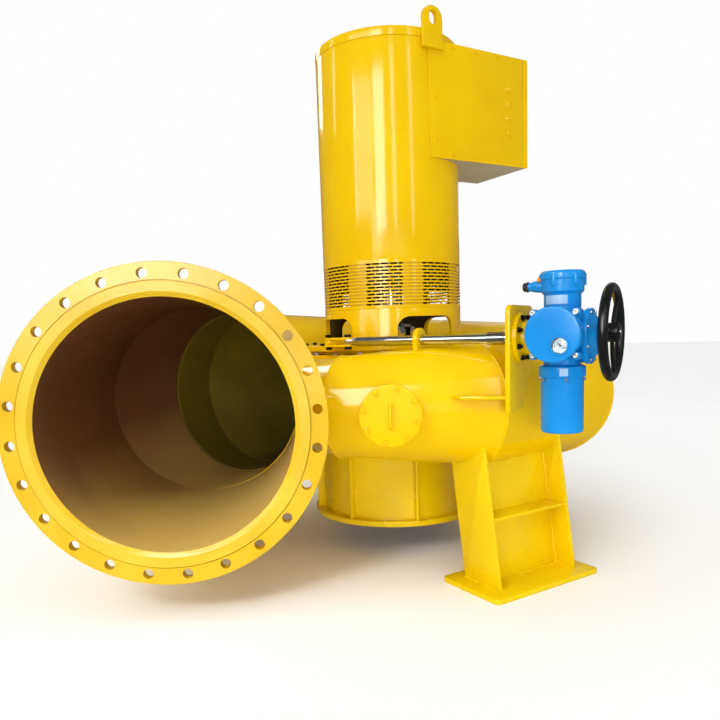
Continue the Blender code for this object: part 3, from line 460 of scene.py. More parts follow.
def gridFaces(bm, rows, index=0):
    verts = [[bm.verts.new(p) for p in row] for row in rows]
    for low, high in zip(verts, verts[1:]):
        for k in range(len(low) - 1):
            bm.faces.new((low[k], low[k + 1], high[k + 1], high[k])).material_index = index
    return verts


def closeSheets(bm, first, second):
    # joins the four borders of two sheets that lie over one another
    for end in (0, -1):
        bridge(bm, first[end], second[end])
        bridge(bm, [row[end] for row in first], [row[end] for row in second])


print("camera and studio")
camera = bpy.data.objects.new("photoCamera", bpy.data.cameras.new("photoCamera"))
bpy.context.scene.collection.objects.link(camera)
camera.data.lens, camera.data.sensor_width, camera.data.shift_y = 33.73, 36, 0.0806
cameraTurn = {"yaw": 0.0677, "pitch": 0.1277, "roll": -0.0338}
yaw, pitch, roll = cameraTurn.values()
forward = Vector((sin(yaw) * cos(pitch), cos(yaw) * cos(pitch), -sin(pitch)))
right = Vector((cos(yaw), -sin(yaw), 0))
above = right.cross(forward)
axes = Matrix((cos(roll) * right + sin(roll) * above, cos(roll) * above - sin(roll) * right, -forward))
camera.matrix_world = move(-0.1654, -3.0100, 0.926) @ axes.transposed().to_4x4()
bpy.context.scene.camera = camera

floorDisc = bmesh.new()
bmesh.ops.create_circle(floorDisc, cap_ends=True, segments=96, radius=30)
studioFloor = toObject(floorDisc, "studioFloor")
studioFloor.data.materials.append(floorPaint)
studioFloor.location.z = -0.0005
studioFloor.visible_glossy = False  # or its white would wash out the yellow at grazing angles

# soft boxes: place, aim, width, height, brightness, spread in degrees, and what they reach:
# "gloss" ones are only mirrored, "fill" ones only light, "both" do both
drumMiddle = (0.2, 0, 1.5)
softBoxes = {
    "keyBox": ((-2.8, -3.9, 2.7), (0.2, 0, 1.3), 4.2, 3.0, 0.50, 150, "fill"),
    "lowBox": ((0.3, -5.4, 0.75), (0.3, 0, 0.45), 3.6, 1.3, 0.92, 60, "fill"),
    "pipeBox": ((-1.7, -3.5, 2.4), (-0.50, -0.60, 0.25), 0.8, 0.8, 0.85, 24, "fill"),
    "backBox": ((2.4, 4.6, 3.0), (0.2, 0, 0.9), 2.4, 2.4, 0.5, 180, "both"),
    "paleBand": ((-3.3, -3.57, 2.85), drumMiddle, 2.4, 2.5, 4.2, 180, "gloss"),
    "brightBand": ((-1.50, -4.70, 2.75), drumMiddle, 1.35, 3.0, 12.0, 180, "gloss"),
    "bandEdge": ((-4.11, -2.54, 2.85), drumMiddle, 0.25, 2.5, 10.0, 180, "gloss"),
    "frontStrip": ((0.37, -5.0, 3.0), drumMiddle, 0.42, 3.4, 6.5, 180, "gloss"),
    "rightStrip": ((2.67, -4.35, 3.0), drumMiddle, 0.36, 3.4, 5.0, 180, "gloss"),
    "leftStrip": ((-4.73, 0.82, 3.9), drumMiddle, 0.28, 1.3, 6.5, 180, "gloss"),
    "rearStrip": ((-2.74, 4.05, 4.1), drumMiddle, 1.3, 1.6, 6.0, 180, "gloss"),
    "flangeBox": ((-2.5, -5.1, 1.3), (-0.8, -0.9, 0.9), 1.5, 1.0, 5.0, 180, "gloss"),
}
# wide even daylight: where it comes from, strength, spread in degrees
daylight = {"skylight": ((-0.2, -0.3, 1.0), 1.2, 70), "frontLight": ((-0.47, -0.71, 0.52), 0.47, 24)}


def hangLamp(name, kind, settings, reach):
    lamp = bpy.data.lights.new(name, kind)
    for key, value in settings.items():
        setattr(lamp, key, value)
    stand = bpy.data.objects.new(name, lamp)
    bpy.context.scene.collection.objects.link(stand)
    stand.visible_diffuse, stand.visible_glossy = reach != "gloss", reach != "fill"
    return stand


for name, (where, aim, width, height, brightness, spread, reach) in softBoxes.items():
    softBox = hangLamp(name, "AREA", {
        "shape": "RECTANGLE", "size": width, "size_y": height, "spread": radians(spread),
        "energy": brightness * pi * width * height}, reach)
    aimed = (Vector(aim) - Vector(where)).to_track_quat("-Z", "Y").to_matrix().to_4x4()
    softBox.matrix_world = move(*where) @ aimed
for name, (origin, strength, spread) in daylight.items():
    sunlight = hangLamp(name, "SUN", {"energy": strength, "angle": radians(spread)}, "fill")
    sunlight.matrix_world = Vector(origin).to_track_quat("Z", "Y").to_matrix().to_4x4()

bpy.context.scene.view_settings.view_transform = "Standard"
world = bpy.data.worlds.new("studioAir")
bpy.context.scene.world = world
world.use_nodes = True
air = world.node_tree
backdrop = air.nodes["Background"]
backdrop.inputs["Color"].default_value = toLinear("#FFFFFF")
rays = addNode(air, "ShaderNodeLightPath", {})
# white to look at, half as bright on the walls, and dim in the gloss as in a real hall
lit = addNode(air, "ShaderNodeMapRange", {"To Min": 0.54, "To Max": 1.0},
              {"Value": rays.outputs["Is Camera Ray"]})
glow = addNode(air, "ShaderNodeMapRange", {"To Max": 0.14},
               {"Value": rays.outputs["Is Glossy Ray"], "To Min": lit.outputs["Result"]})
air.links.new(glow.outputs["Result"], backdrop.inputs["Strength"])

print("spiral case")
case = {
    "ringEdge": 0.4446, "edgeHeight": 0.138, "pipeRadius": 0.410, "shrink": 0.00075, "wall": 0.008,
    "mitres": (0, 38, 78, 120, 162, 204, 250, 296, 345), "blend": 0.10, "steps": 10, "points": 112,
    "bead": 0.0050, "beadSink": 0.0018, "brownTo": 23.5, "pipeStart": -0.857,
    "innerSeams": ((0, 38, 23.5), (0, 38, 38), (38, 78, 56.5), (38, 78, 78)),  # course's ends, seam
}
ringEdge, edgeHeight = case["ringEdge"], case["edgeHeight"]
courseEnds = list(zip(case["mitres"], case["mitres"][1:]))


def sectionRadius(angle):
    return case["pipeRadius"] - case["shrink"] * angle


def sectionCentre(angle):
    return ringEdge + sqrt(sectionRadius(angle) ** 2 - edgeHeight ** 2)


def sectionPoint(angle, share, grow):
    # share runs from the upper edge at the stay ring, round the outside, to the lower edge
    radius = sectionRadius(angle)
    opening = asin(edgeHeight / radius)
    turn = opening + (2 * pi - 2 * opening) * share
    return sectionCentre(angle) - (radius + grow) * cos(turn), (radius + grow) * sin(turn)


def onVolute(angle, radius, height):
    azimuth = pi - radians(angle)
    return Vector((radius * cos(azimuth), radius * sin(azimuth), height))


def courseRow(start, end, share, grow, points):
    # flat-rolled between its two mitres, and bent round the stay ring near its edges
    row = []
    for point in range(points + 1):
        first, last = (sectionPoint(angle, point / points, grow) for angle in (start, end))
        straight = onVolute(start, *first).lerp(onVolute(end, *last), share)
        radius, height = (a + (b - a) * share for a, b in zip(first, last))
        bent = onVolute(start + (end - start) * share, radius, height)
        weight = max(0.0, min(1.0, (radius - ringEdge) / case["blend"]))
        row.append(bent.lerp(straight, weight * weight * (3 - 2 * weight)))
    return row


def courseRows(start, end, grow, steps, points):
    return [courseRow(start, end, k / steps, grow, points) for k in range(steps + 1)]


def caseVolume():
    # the whole outside of the case as one closed body, to trim what stands on it
    rows = []
    for start, end in courseEnds:
        rows += courseRows(start, end, -0.003, 4, 64)[1 if rows else 0:]
    bm = bmesh.new()
    verts = gridFaces(bm, rows)
    bridge(bm, [row[0] for row in verts], [row[-1] for row in verts])
    bm.faces.new(verts[0])
    bm.faces.new(verts[-1])
    return bm


def pipeSolid(clearance):
    return placed(tube(0, case["pipeRadius"] + clearance, case["pipeStart"], 0.01, 96), pipeSpot)


caseBody, pipeBody = toObject(caseVolume()), toObject(pipeSolid(-0.0003))
caseBody.hide_render = pipeBody.hide_render = True
caseSkin = BVHTree.FromObject(caseBody, bpy.context.evaluated_depsgraph_get())

for number, (start, end) in enumerate(courseEnds, 1):
    course = bmesh.new()
    outer, inner = (gridFaces(course, courseRows(start, end, grow, case["steps"], case["points"]), index)
                    for index, grow in enumerate((0.0, -case["wall"])))
    closeSheets(course, outer, inner)
    if number == 1:  # the inlet's brown primer reaches as far as the first seam inside
        paint(course, 2, lambda c, f: f.material_index and pi - atan2(c.y, c.x) > radians(case["brownTo"]))
    if number >= 7:  # the last two run against the inlet pipe
        trimmer = pipeSolid(0.0003)
        paint(trimmer, 1, lambda c, f: True)
        course = carve(course, trimmer)
    # inside faces past the brown primer in olive: painted shade
    makePiece(f"caseCourse{number}", course, yellowEnamel, f"case_course_{number}",
              others=(pipePrimerPaintedLight, oliveShadePrimer) if number == 1 else (oliveShadePrimer,))

welds = bmesh.new()
for angle in case["mitres"][:-1]:
    line = [onVolute(angle, *sectionPoint(angle, 0.004 + 0.992 * k / 460, -case["beadSink"]))
            for k in range(461)]
    if angle == case["mitres"][-2]:  # this seam stops at the inlet pipe
        line = [p for p in line if not (p.x < -0.40 and abs(p.z) < 0.30 and p.y < 0)]
    merge(welds, sweep(line, case["bead"], ripple=0.10, pitch=0.014))
for side in (1, -1):  # shell to stay ring
    merge(welds, ringWeld(ringEdge + 0.001, side * (edgeHeight + 0.003), 560, 0.0062))
makePiece("caseWelds", welds, yellowEnamel, angle=60)
innerWelds = bmesh.new()
for start, end, angle in case["innerSeams"]:
    seam = courseRow(start, end, (angle - start) / (end - start), -case["wall"] - 0.0005, 320)
    merge(innerWelds, sweep(seam[2:-2], 0.0026, 6, ripple=0.10, pitch=0.014))
makePiece("innerWelds", innerWelds, oliveShadePrimer, angle=60)

print("inlet flange and pipe")
inlet = {
    "bore": 0.402, "lip": 0.4165, "lipDepth": 0.010, "pipe": 0.410, "face": -0.893, "raised": 0.4500,
    "raise": 0.004, "relief": 0.006, "reliefWidth": 0.0026, "outer": 0.5075, "thickness": 0.036,
    "boltCircle": 0.475, "holes": 24, "holeRadius": 0.0165, "firstHole": 10.3, "grooves": 5,
    "grooveDepth": 0.0003,
}
bore, lip, raised, outer, face = (inlet[key] for key in ("bore", "lip", "raised", "outer", "face"))
back, shoulder = face + inlet["thickness"], face + inlet["raise"]
profile = [(bore, face + inlet["lipDepth"]), (lip - 0.001, face + 0.0008), (lip + 0.001, face)]
pitch = (raised - lip - 0.005) / inlet["grooves"]
for k in range(inlet["grooves"]):
    for share, depth in ((0.10, 0), (0.38, inlet["grooveDepth"]), (0.62, inlet["grooveDepth"]), (0.90, 0)):
        profile.append((lip + 0.003 + pitch * (k + share), face + depth))
grooved = range(2, len(profile))
deep, gap = shoulder + inlet["relief"], raised + inlet["reliefWidth"]
profile += [(raised - 0.0006, face), (raised, face + 0.0006), (raised, deep), (gap, deep), (gap, shoulder),
            (outer - 0.0015, shoulder), (outer, shoulder + 0.0015), (outer, back - 0.0015),
            (outer - 0.0015, back), (bore, back)]
flange = lathe(profile, 192, skin=grooved)
paint(flange, 2, lambda c, f: hypot(c.x, c.y) < bore + 0.0002)
flange = carve(flange, repeated(tube(0, inlet["holeRadius"], -1, -0.8, 32), evenly(
    inlet["holes"], inlet["firstHole"], inlet["boltCircle"], facingOut=False)))
# flange face and turned grooves in enamels paled as painted sheen; the bore in the brown primer
makePiece("inletFlange", flange, sheenFlangeEnamel, "inlet_flange", pipeLine, 25, (turnedSheenEnamel, pipePrimerPaintedLight))
pipeWall = placed(tube(bore, inlet["pipe"], back, -0.0003, 144, skin=(3,)), pipeSpot)
makePiece("inletPipe", carve(pipeWall, tube(0, ringEdge, -0.5, 0.5, 144)), yellowEnamel, "inlet_pipe",
          angle=40, others=(pipePrimerPaintedLight,))
makePiece("flangeWeld", ringWeld(inlet["pipe"] + 0.001, back + 0.001, 640, 0.007, 0.016), yellowEnamel,
          place=pipeLine, angle=60)

print("stay ring, gates and head cover")
ringWork = {"half": 0.120, "thickness": 0.035, "outer": 0.4397, "inner": 0.392, "vanes": 12,
            "gateOuter": 0.3917, "gateInner": 0.333}
half, top = ringWork["half"], ringWork["half"] + ringWork["thickness"]


def vaneRow(radius, length, thickness, turn, low, high, steps=14):
    # vanes with a blunt nose and a thin tail
    upper = []
    for k in range(steps + 1):
        along = (k / steps) ** 1.6
        swell = thickness * (sqrt(along) * 1.6 - 1.1 * along - 0.5 * along ** 3)
        upper.append((length * (along - 0.5), max(swell, 0.0006)))
    vane = slab(upper + [(x, -y) for x, y in reversed(upper)], low, high)
    return repeated(placed(vane, spin("Z", turn)), evenly(ringWork["vanes"], 15, radius))


# stay ring and gates in the olive painted shade, the rings' outside in yellow
stayRing = vaneRow(0.416, 0.046, 0.008, 38, -0.121, 0.121)
for low, high in ((half, top), (-top, -half)):
    merge(stayRing, tube(ringWork["inner"], ringWork["outer"], low, high, 128, 0.002))
paint(stayRing, 1, lambda c, f: abs(c.z) > top - 0.003)  # the rings' outside is painted with the case
makePiece("stayRing", stayRing, oliveShadePrimer, "stay_ring", others=(yellowEnamel,))
gates = vaneRow(0.360, 0.090, 0.010, 62, -0.124, 0.1197)
merge(gates, tube(ringWork["gateInner"], ringWork["gateOuter"], -top, -half, 128, 0.002))
makePiece("guideVanes", gates, oliveShadePrimer, "guide_vanes")

coverWork = {"bore": 0.050, "spigot": 0.3917, "rim": 0.185, "outer": 0.430, "neck": 0.235, "bolts": 24,
             "firstBolt": 5, "boltCircle": 0.4185}
bore, spigot, rim, outer, neck = list(coverWork.values())[:5]
seat = top + 0.0003
cover = lathe([(bore, -half), (0.112, -half), (0.150, -0.030), (0.215, 0.060), (0.300, half),
               (spigot, half), (spigot, seat), (outer, seat), (outer, rim), (0.170, rim),
               (0.150, neck), (bore, neck)], 128,
              [0.002, 0.006, 0.03, 0.04, 0.01, 0, 0, 0.001, 0.002, 0.006, 0.004, 0.002], 4)
makePiece("headCover", cover, yellowEnamel, "head_cover")
fasten("headCoverBolts", boltHead(0.018, 0.009, 0.0015, 1.0),
       evenly(coverWork["bolts"], coverWork["firstBolt"], coverWork["boltCircle"], rim), zincSteel)

print("runner chamber")
chamber = {"inner": 0.3195, "outer": 0.331, "bottom": -0.515, "flange": 0.369, "top": -0.1553,
           "collar": 0.405, "neck": -0.1773, "sill": -0.493, "firstRib": -84, "ribs": 8}
inner, outer, edge, collar = (chamber[key] for key in ("inner", "outer", "flange", "collar"))
bottom, sill, neck, top = (chamber[key] for key in ("bottom", "sill", "neck", "top"))
chamberShell = lathe([(inner, bottom), (edge, bottom), (edge, sill), (outer, sill), (outer, neck),
                      (collar, neck), (collar, top), (inner, top)], 144, 0.0018)
paint(chamberShell, 1, lambda c, f: hypot(c.x, c.y) < inner + 0.0005)
rib = block((outer - 0.004, -0.005, sill - 0.002), (edge - 0.006, 0.005, neck + 0.002), 0.0012)
merge(chamberShell, repeated(rib, evenly(chamber["ribs"], chamber["firstRib"])))
makePiece("runnerChamber", chamberShell, brushedEnamel, "runner_chamber", others=(redPrimer,))
chamberWelds = bmesh.new()
for height in (sill + 0.001, neck - 0.001):
    merge(chamberWelds, ringWeld(outer + 0.001, height, 420, 0.0045))
for place in evenly(chamber["ribs"], chamber["firstRib"]):
    for side in (-0.0058, 0.0058):
        foot, head = (place @ Vector((outer + 0.0008, side, z)) for z in (sill + 0.004, neck - 0.004))
        merge(chamberWelds, straightWeld(foot, head, 0.0036, 0.012))
makePiece("chamberWelds", chamberWelds, brushedEnamel, angle=60)

print("runner and shaft")
runner = {"hub": 0.1195, "tip": 0.3135, "blades": 4, "middle": -0.270, "wrap": 74, "rise": 0.10,
          "spans": 16, "chords": 36}
hubLine = [(0, -0.460), (0.018, -0.458), (0.040, -0.446), (0.066, -0.420), (0.085, -0.390),
           (0.098, -0.365), (0.108, -0.340), (0.115, -0.315), (0.1195, -0.285), (0.120, -0.262),
           (0.120, -0.137), (0.118, -0.135), (0, -0.135)]
makePiece("runnerHub", lathe(hubLine, 96), runnerBronze, "runner_hub", body="rotor")


def bladeRow(azimuth, share, side):
    # one line of points across the blade, at its share of the way from hub to tip
    radius = runner["hub"] + (runner["tip"] - runner["hub"]) * share
    thickness = 0.012 - 0.007 * share + 0.016 * exp(-(radius - runner["hub"]) / 0.012)  # root fillet
    wrap = radians(runner["wrap"]) * (0.86 + 0.14 * share)
    row = []
    for j in range(runner["chords"] + 1):
        chord = j / runner["chords"] - 0.5
        angle = azimuth + wrap * chord
        swell = sqrt(max(0.0, 1 - (2 * chord) ** 2)) * 0.9 + 0.06
        height = (runner["middle"] + runner["rise"] * (1.0 - 0.35 * share) * chord
                  + 0.020 * (0.25 - chord ** 2))
        row.append((radius * cos(angle), radius * sin(angle), height + side * thickness / 2 * swell))
    return row


for number in range(runner["blades"]):
    blade = bmesh.new()
    upper, lower = (gridFaces(blade, [bladeRow(pi / 2 * number, span / runner["spans"], side)
                                      for span in range(runner["spans"] + 1)]) for side in (1, -1))
    closeSheets(blade, upper, lower)
    makePiece(f"runnerBlade{number + 1}", blade, runnerBronze, f"runner_blade_{number + 1}", angle=50,
              body="rotor")

shaft = lathe([(0, -0.1347), (0.045, -0.1347), (0.045, 0.240), (0.095, 0.240), (0.095, 0.290),
               (0.045, 0.290), (0.045, 0.577), (0.0494, 0.577), (0.0494, 0.637), (0, 0.637)], 96, 0.0015)
merge(shaft, tube(0.0945, 0.0960, 0.2640, 0.2660, 96))  # joint line of the coupling
makePiece("mainShaft", shaft, groundSteel, "main_shaft", body="rotor")
fasten("couplingBolts", boltHead(0.019, 0.010, 0.002, 1.0), [
    place @ flip for height, flip in ((0.290, Matrix()), (0.240, upsideDown))
    for place in evenly(8, 0, 0.074, height)], zincSteel, body="rotor")

print("generator")
drum = {"radius": 0.2965, "wall": 0.018, "footLow": 0.1853, "foot": 0.1997, "footRadius": 0.362,
        "standTop": 0.364, "ventTop": 0.557, "frameTop": 1.388, "lidTop": 1.425, "arches": (23, 113),
        "archWidth": 0.262, "archLow": 0.224, "archHigh": 0.330, "archRound": 0.050, "bolts": 16,
        "firstBolt": 8, "boltCircle": 0.343}
regRing = {"inner": 0.3255, "outer": 0.408, "low": 0.200, "high": 0.222}  # turns on the stand's collar
radius, wall = drum["radius"], drum["radius"] - drum["wall"]
collar = regRing["inner"] * cos(pi / 40) - 0.0006  # the ring's bore has 40 flat sides in the solids
foot, footRadius, footLow = drum["foot"], drum["footRadius"], drum["footLow"]
standTop, shelfLow = drum["standTop"], drum["standTop"] - 0.014
standDrum = lathe([(wall, footLow), (footRadius, footLow), (footRadius, foot), (collar, foot),
                   (collar, 0.218), (radius, 0.222), (radius, standTop), (0.235, standTop),
                   (0.235, shelfLow), (wall, shelfLow)], 160,
                  [0.001, 0.002, 0.002, 0.001, 0.001, 0.008, 0.001, 0.001, 0.002, 0.004])
half = drum["archWidth"] / 2
for azimuth in drum["arches"]:  # each cut goes through two windows
    arch = slab(roundedBox(-half, drum["archLow"], half, drum["archHigh"], 0.004, drum["archRound"]),
                -0.45, 0.45)
    standDrum = carve(standDrum, placed(arch, spin("Z", azimuth) @ spin("X", 90)))
# the inside of the stand in the near-black primer: painted shade
paint(standDrum, 1, lambda c, f: hypot(c.x, c.y) < wall + 0.0005)
makePiece("generatorStand", standDrum, yellowEnamel, "generator_stand", others=(shadePrimer,))
fasten("standBolts", boltHead(0.018, 0.009, 0.0015, 1.0),
       evenly(drum["bolts"], drum["firstBolt"], drum["boltCircle"], foot), blackSteel)

vent = {"rows": 13, "top": 0.539, "low": 0.3643, "pitch": 0.0132, "half": 0.0036, "groove": 0.0021,
        "thickness": 0.003, "panelStart": -102.5, "panelHalf": 14, "slot": 6}


def ventScreen():
    # sheet with pressed grooves all round, pierced with short slots in its eight panels
    levels, grooveRows = [vent["low"]], []  # plain bands have row -1
    for row in reversed(range(vent["rows"])):
        centre = vent["top"] - vent["pitch"] * row
        levels += [centre - vent["half"], centre + vent["half"]]
        grooveRows += [-1, row]
    levels.append(drum["ventTop"])
    grooveRows.append(-1)
    radii = (drum["radius"] - vent["thickness"], drum["radius"] - vent["groove"], drum["radius"])
    bm = bmesh.new()
    made = {}

    def depthOf(column, band):
        # 0 is a slot, 1 the bottom of a groove and 2 the full sheet
        row = grooveRows[band]
        if row < 0:
            return 2
        across = (column + 0.5 - vent["panelStart"] + 22.5) % 45 - 22.5
        if abs(across) > vent["panelHalf"]:
            return 1
        shift = 0 if row % 2 else (vent["slot"] + 1) / 2
        return int((across + vent["panelHalf"] + shift) % (vent["slot"] + 1) < 1)

    def quad(*corners):
        face = []
        for column, level, depth in corners:
            key = (column % 360, level, depth)
            if key not in made:
                made[key] = bm.verts.new(spoke(key[0], radii[depth], levels[level]).translation)
            face.append(made[key])
        return bm.faces.new(face)

    for column in range(360):
        after = column + 1
        for band in range(len(grooveRows)):
            depth, beside = depthOf(column, band), depthOf(after, band)
            over = depthOf(column, band + 1) if band + 1 < len(grooveRows) else 0
            # groove floors take the darker enamel: painted shade
            for layer in (0, depth) if depth else ():
                quad((column, band, layer), (after, band, layer), (after, band + 1, layer),
                     (column, band + 1, layer)).material_index = int(layer == 1)
            for first, second, level in [(depth, over, band + 1)] + ([(0, depth, 0)] if band == 0 else []):
                for layer in range(min(first, second), max(first, second)):
                    quad((column, level, layer), (after, level, layer), (after, level, layer + 1),
                         (column, level, layer + 1))
            for layer in range(min(depth, beside), max(depth, beside)):
                quad((after, band, layer), (after, band + 1, layer), (after, band + 1, layer + 1),
                     (after, band, layer + 1))
    return bm


# the vent's groove floors in darker amber: painted shade
makePiece("ventScreen", ventScreen(), yellowEnamel, "vent_screen", angle=25, others=(grooveShadeEnamel,))

# the stator's end windings behind the vents, in the near-black primer: painted shade that darkens the vents
# from inside
windings = {"inner": 0.222, "outer": 0.258, "low": 0.452, "high": 0.6425, "coils": 48}
middle, low = (windings["inner"] + windings["outer"]) / 2, windings["low"]
endWindings = tube(windings["inner"], windings["outer"], low + 0.02, windings["high"], 96, 0.006)
loop = [(middle + 0.015 * cos(a), 0, low + 0.028 + 0.026 * sin(a))
        for a in (pi + pi * step / 10 for step in range(11))]
merge(endWindings, repeated(sweep(loop, 0.0065), evenly(windings["coils"], 0)))
makePiece("endWindings", endWindings, shadePrimer)

low, high = drum["ventTop"], drum["frameTop"]
generatorFrame = lathe([(0, low + 0.085), (0.050, low + 0.085), (0.050, low + 0.0003),
                        (radius, low + 0.0003), (radius, high), (0, high)], 192, 0.0015)
makePiece("generatorFrame", generatorFrame, yellowEnamel, "generator_frame")
lid = tube(0, radius + 0.0015, high + 0.0003, drum["lidTop"], 192, [0, 0.001, 0.012, 0], 6)
makePiece("generatorLid", lid, yellowEnamel, "generator_lid")

print("lifting lugs and terminal box")
lug = {"azimuths": (-61, 119), "width": 0.092, "thickness": 0.020, "low": 1.349, "high": 1.501,
       "holeHalf": 0.018, "holeLow": 1.433, "holeHigh": 1.485}
boxWork = {"turn": 26, "reach": 0.515, "depth": 0.330, "low": 0.948, "high": 1.385, "cover": 0.004,
           "strip": 0.024, "scoops": (1.254, 1.195, 1.137, 1.078), "scoopX": 0.410}
boxFace = -(radius + 0.0003 + boxWork["cover"])
boxBack, reach = boxFace + boxWork["cover"], boxWork["reach"]
low, high, split = boxWork["low"], boxWork["high"], reach - boxWork["strip"]
boxPlace = spin("Z", boxWork["turn"])
half, holeHalf = lug["width"] / 2, lug["holeHalf"]
for number, azimuth in enumerate(lug["azimuths"], 1):
    plate = slab(roundedBox(-half, lug["low"], half, lug["high"], 0.002, 0.044), radius + 0.0003,
                 radius + lug["thickness"], 0.0016)
    eyeHole = roundedBox(-holeHalf, lug["holeLow"], holeHalf, lug["holeHigh"], 0.0179, 0.0179, 8)
    plate = placed(carve(plate, slab(eyeHole, 0.2, 0.4)), spoke(azimuth) @ upright)
    if number == 1:  # cut back where the terminal box stands
        room = block((0.0, boxFace - 0.0002, low), (reach + 0.01, 0, high + 0.001))
        plate = carve(plate, placed(room, boxPlace))
    makePiece(f"liftingLug{number}", plate, yellowEnamel, f"lifting_lug_{number}")

boxBody = placed(block((0.004, boxBack, low), (reach, boxFace + boxWork["depth"], high), 0.003), boxPlace)
boxBody = carve(boxBody, tube(0, radius, 0.6, 1.6, 192))
paint(boxBody, 1, lambda c, f: f.normal.z < -0.9 and c.z < low + 0.002)  # its floor is grey
makePiece("terminalBox", boxBody, yellowEnamel, "terminal_box", others=(undersideGrey,))
boxCover = block((0.002, boxFace, low - 0.001), (split, boxBack, high + 0.001), 0.0014)
for x, y, edge in ((split + 0.002, boxFace + 0.0008, 0.0014), (reach - 0.008, boxFace - 0.0014, 0.0012)):
    merge(boxCover, block((x, y, low - 0.001), (reach + 0.001, boxBack, high + 0.001), edge))
for height in boxWork["scoops"]:  # pressed scoops above one another
    scoop = bmesh.new()
    bmesh.ops.create_uvsphere(scoop, u_segments=24, v_segments=14, radius=1)
    merge(boxCover, scoop, move(boxWork["scoopX"], boxFace + 0.001, height)
          @ Matrix.Diagonal((0.0125, 0.0065, 0.0115, 1)))
    hood = [(x, boxFace - 0.0005, z) for x, z in arc((boxWork["scoopX"], height), 0.013, -200, 20, 22)]
    merge(boxCover, sweep(hood, 0.0034))
makePiece("terminalBoxCover", boxCover, yellowEnamel, "terminal_box_cover", turbineAxis @ boxPlace)
screwSpots = [(0.036, 1.172), (0.036, 1.016)]
screwSpots += [(x, z) for z in (1.371, 0.962) for x in (0.120, 0.235, 0.350)]
screwSpots = [move(x, boxFace + 0.0002, z) @ spin("X", 90) for x, z in screwSpots]
fasten("terminalBoxScrews", capScrew(0.0065, 0.0035), screwSpots, yellowEnamel, turbineAxis @ boxPlace)

print("handhole")
hand = {"azimuth": -98, "z": -0.005, "radius": 0.105, "face": 0.812, "boltCircle": 0.093, "bolts": 8,
        "firstBolt": -104, "grip": 0.039}
handSpot = spoke(hand["azimuth"], 0, hand["z"]) @ facing
handPlace = turbineAxis @ handSpot
face, outer, inner, seat = hand["face"], hand["radius"], hand["radius"] - 0.030, hand["face"] - 0.016
handholeNeck = lathe([(inner, 0.70), (inner + 0.012, 0.70), (inner + 0.012, seat - 0.014),
                      (outer, seat - 0.014), (outer, seat - 0.0003), (inner, seat - 0.0003)], 96,
                     [0, 0, 0.004, 0.0015, 0.0015, 0.001])
handholeNeck = carve(placed(handholeNeck, handSpot), caseBody)
makePiece("handholeNeck", handholeNeck, yellowEnamel, "handhole_neck")
handholeCover = tube(0, outer, seat, face, 96, [0, 0.001, 0.003, 0], 4)
makePiece("handholeCover", handholeCover, yellowEnamel, "handhole_cover", handPlace)
boltSpots = evenly(hand["bolts"], hand["firstBolt"], hand["boltCircle"], face, False)
fasten("handholeBolts", merge(boltHead(0.019, 0.011, 0.0018, 0.9), stud(0.0055, 0.017)), boltSpots,
       yellowEnamel, handPlace)
grip = hand["grip"]
ends = [(-grip, 0.0), (-grip, 0.016), (-0.036, 0.022), (-0.030, 0.0245)]
gripBar = sweep([(0, y, z) for y, z in ends + [(-y, z) for y, z in reversed(ends)]], 0.0055, 12)
merge(gripBar, repeated(tube(0, 0.010, 0, 0.003, 20, 0.001), (move(0, -grip), move(0, grip))))
makePiece("handholeHandle", gripBar, yellowEnamel, "handhole_handle",
          handPlace @ spin("Z", 90) @ move(z=face))

print("legs")
legs = {"azimuths": {"Front": -59, "Left": 170, "Back": 66}, "out": 0.105, "twist": -2.5, "floor": -0.650,
        "footLength": 0.515, "footWidth": 0.292, "foot": 0.018, "length": 0.387, "width": 0.182,
        "plate": 0.012, "lean": 0.156, "stiffener": 0.240, "tall": 0.62}
thick, tall, stiffener, footTop = legs["plate"], legs["tall"], legs["stiffener"], legs["floor"] + legs["foot"]
inside, width = legs["length"] / 2 - thick, legs["width"] / 2
lean = Matrix()
lean[0][2] = -legs["lean"]
legPlates = [  # two flanges, the web and a stiffener
    ((-width, -inside - thick, 0.0), (width, -inside, tall)),
    ((-width, inside, 0.0), (width, inside + thick, tall)),
    ((-thick / 2, -inside, 0.0), (thick / 2, inside, tall)),
    ((-width + 0.004, -inside, stiffener - 0.005), (width - 0.004, inside, stiffener + 0.005)),
]


def hitCase(low, high):
    # where a line meets the outside of the case
    return caseSkin.ray_cast(low, (high - low).normalized(), (high - low).length)[0]


def topWeld(standing, x, y, along):
    # bead where a plate runs into the case; along is the direction and half length of the plate
    line = []
    for k in range(int(2 * along.length / 0.004) + 1):
        base = Vector((x, y, 0)) + along.normalized() * (0.004 * k - along.length)
        line.append(hitCase(standing @ lean @ base, standing @ lean @ (base + Vector((0, 0, tall)))))
    return [spot for spot in line if spot]


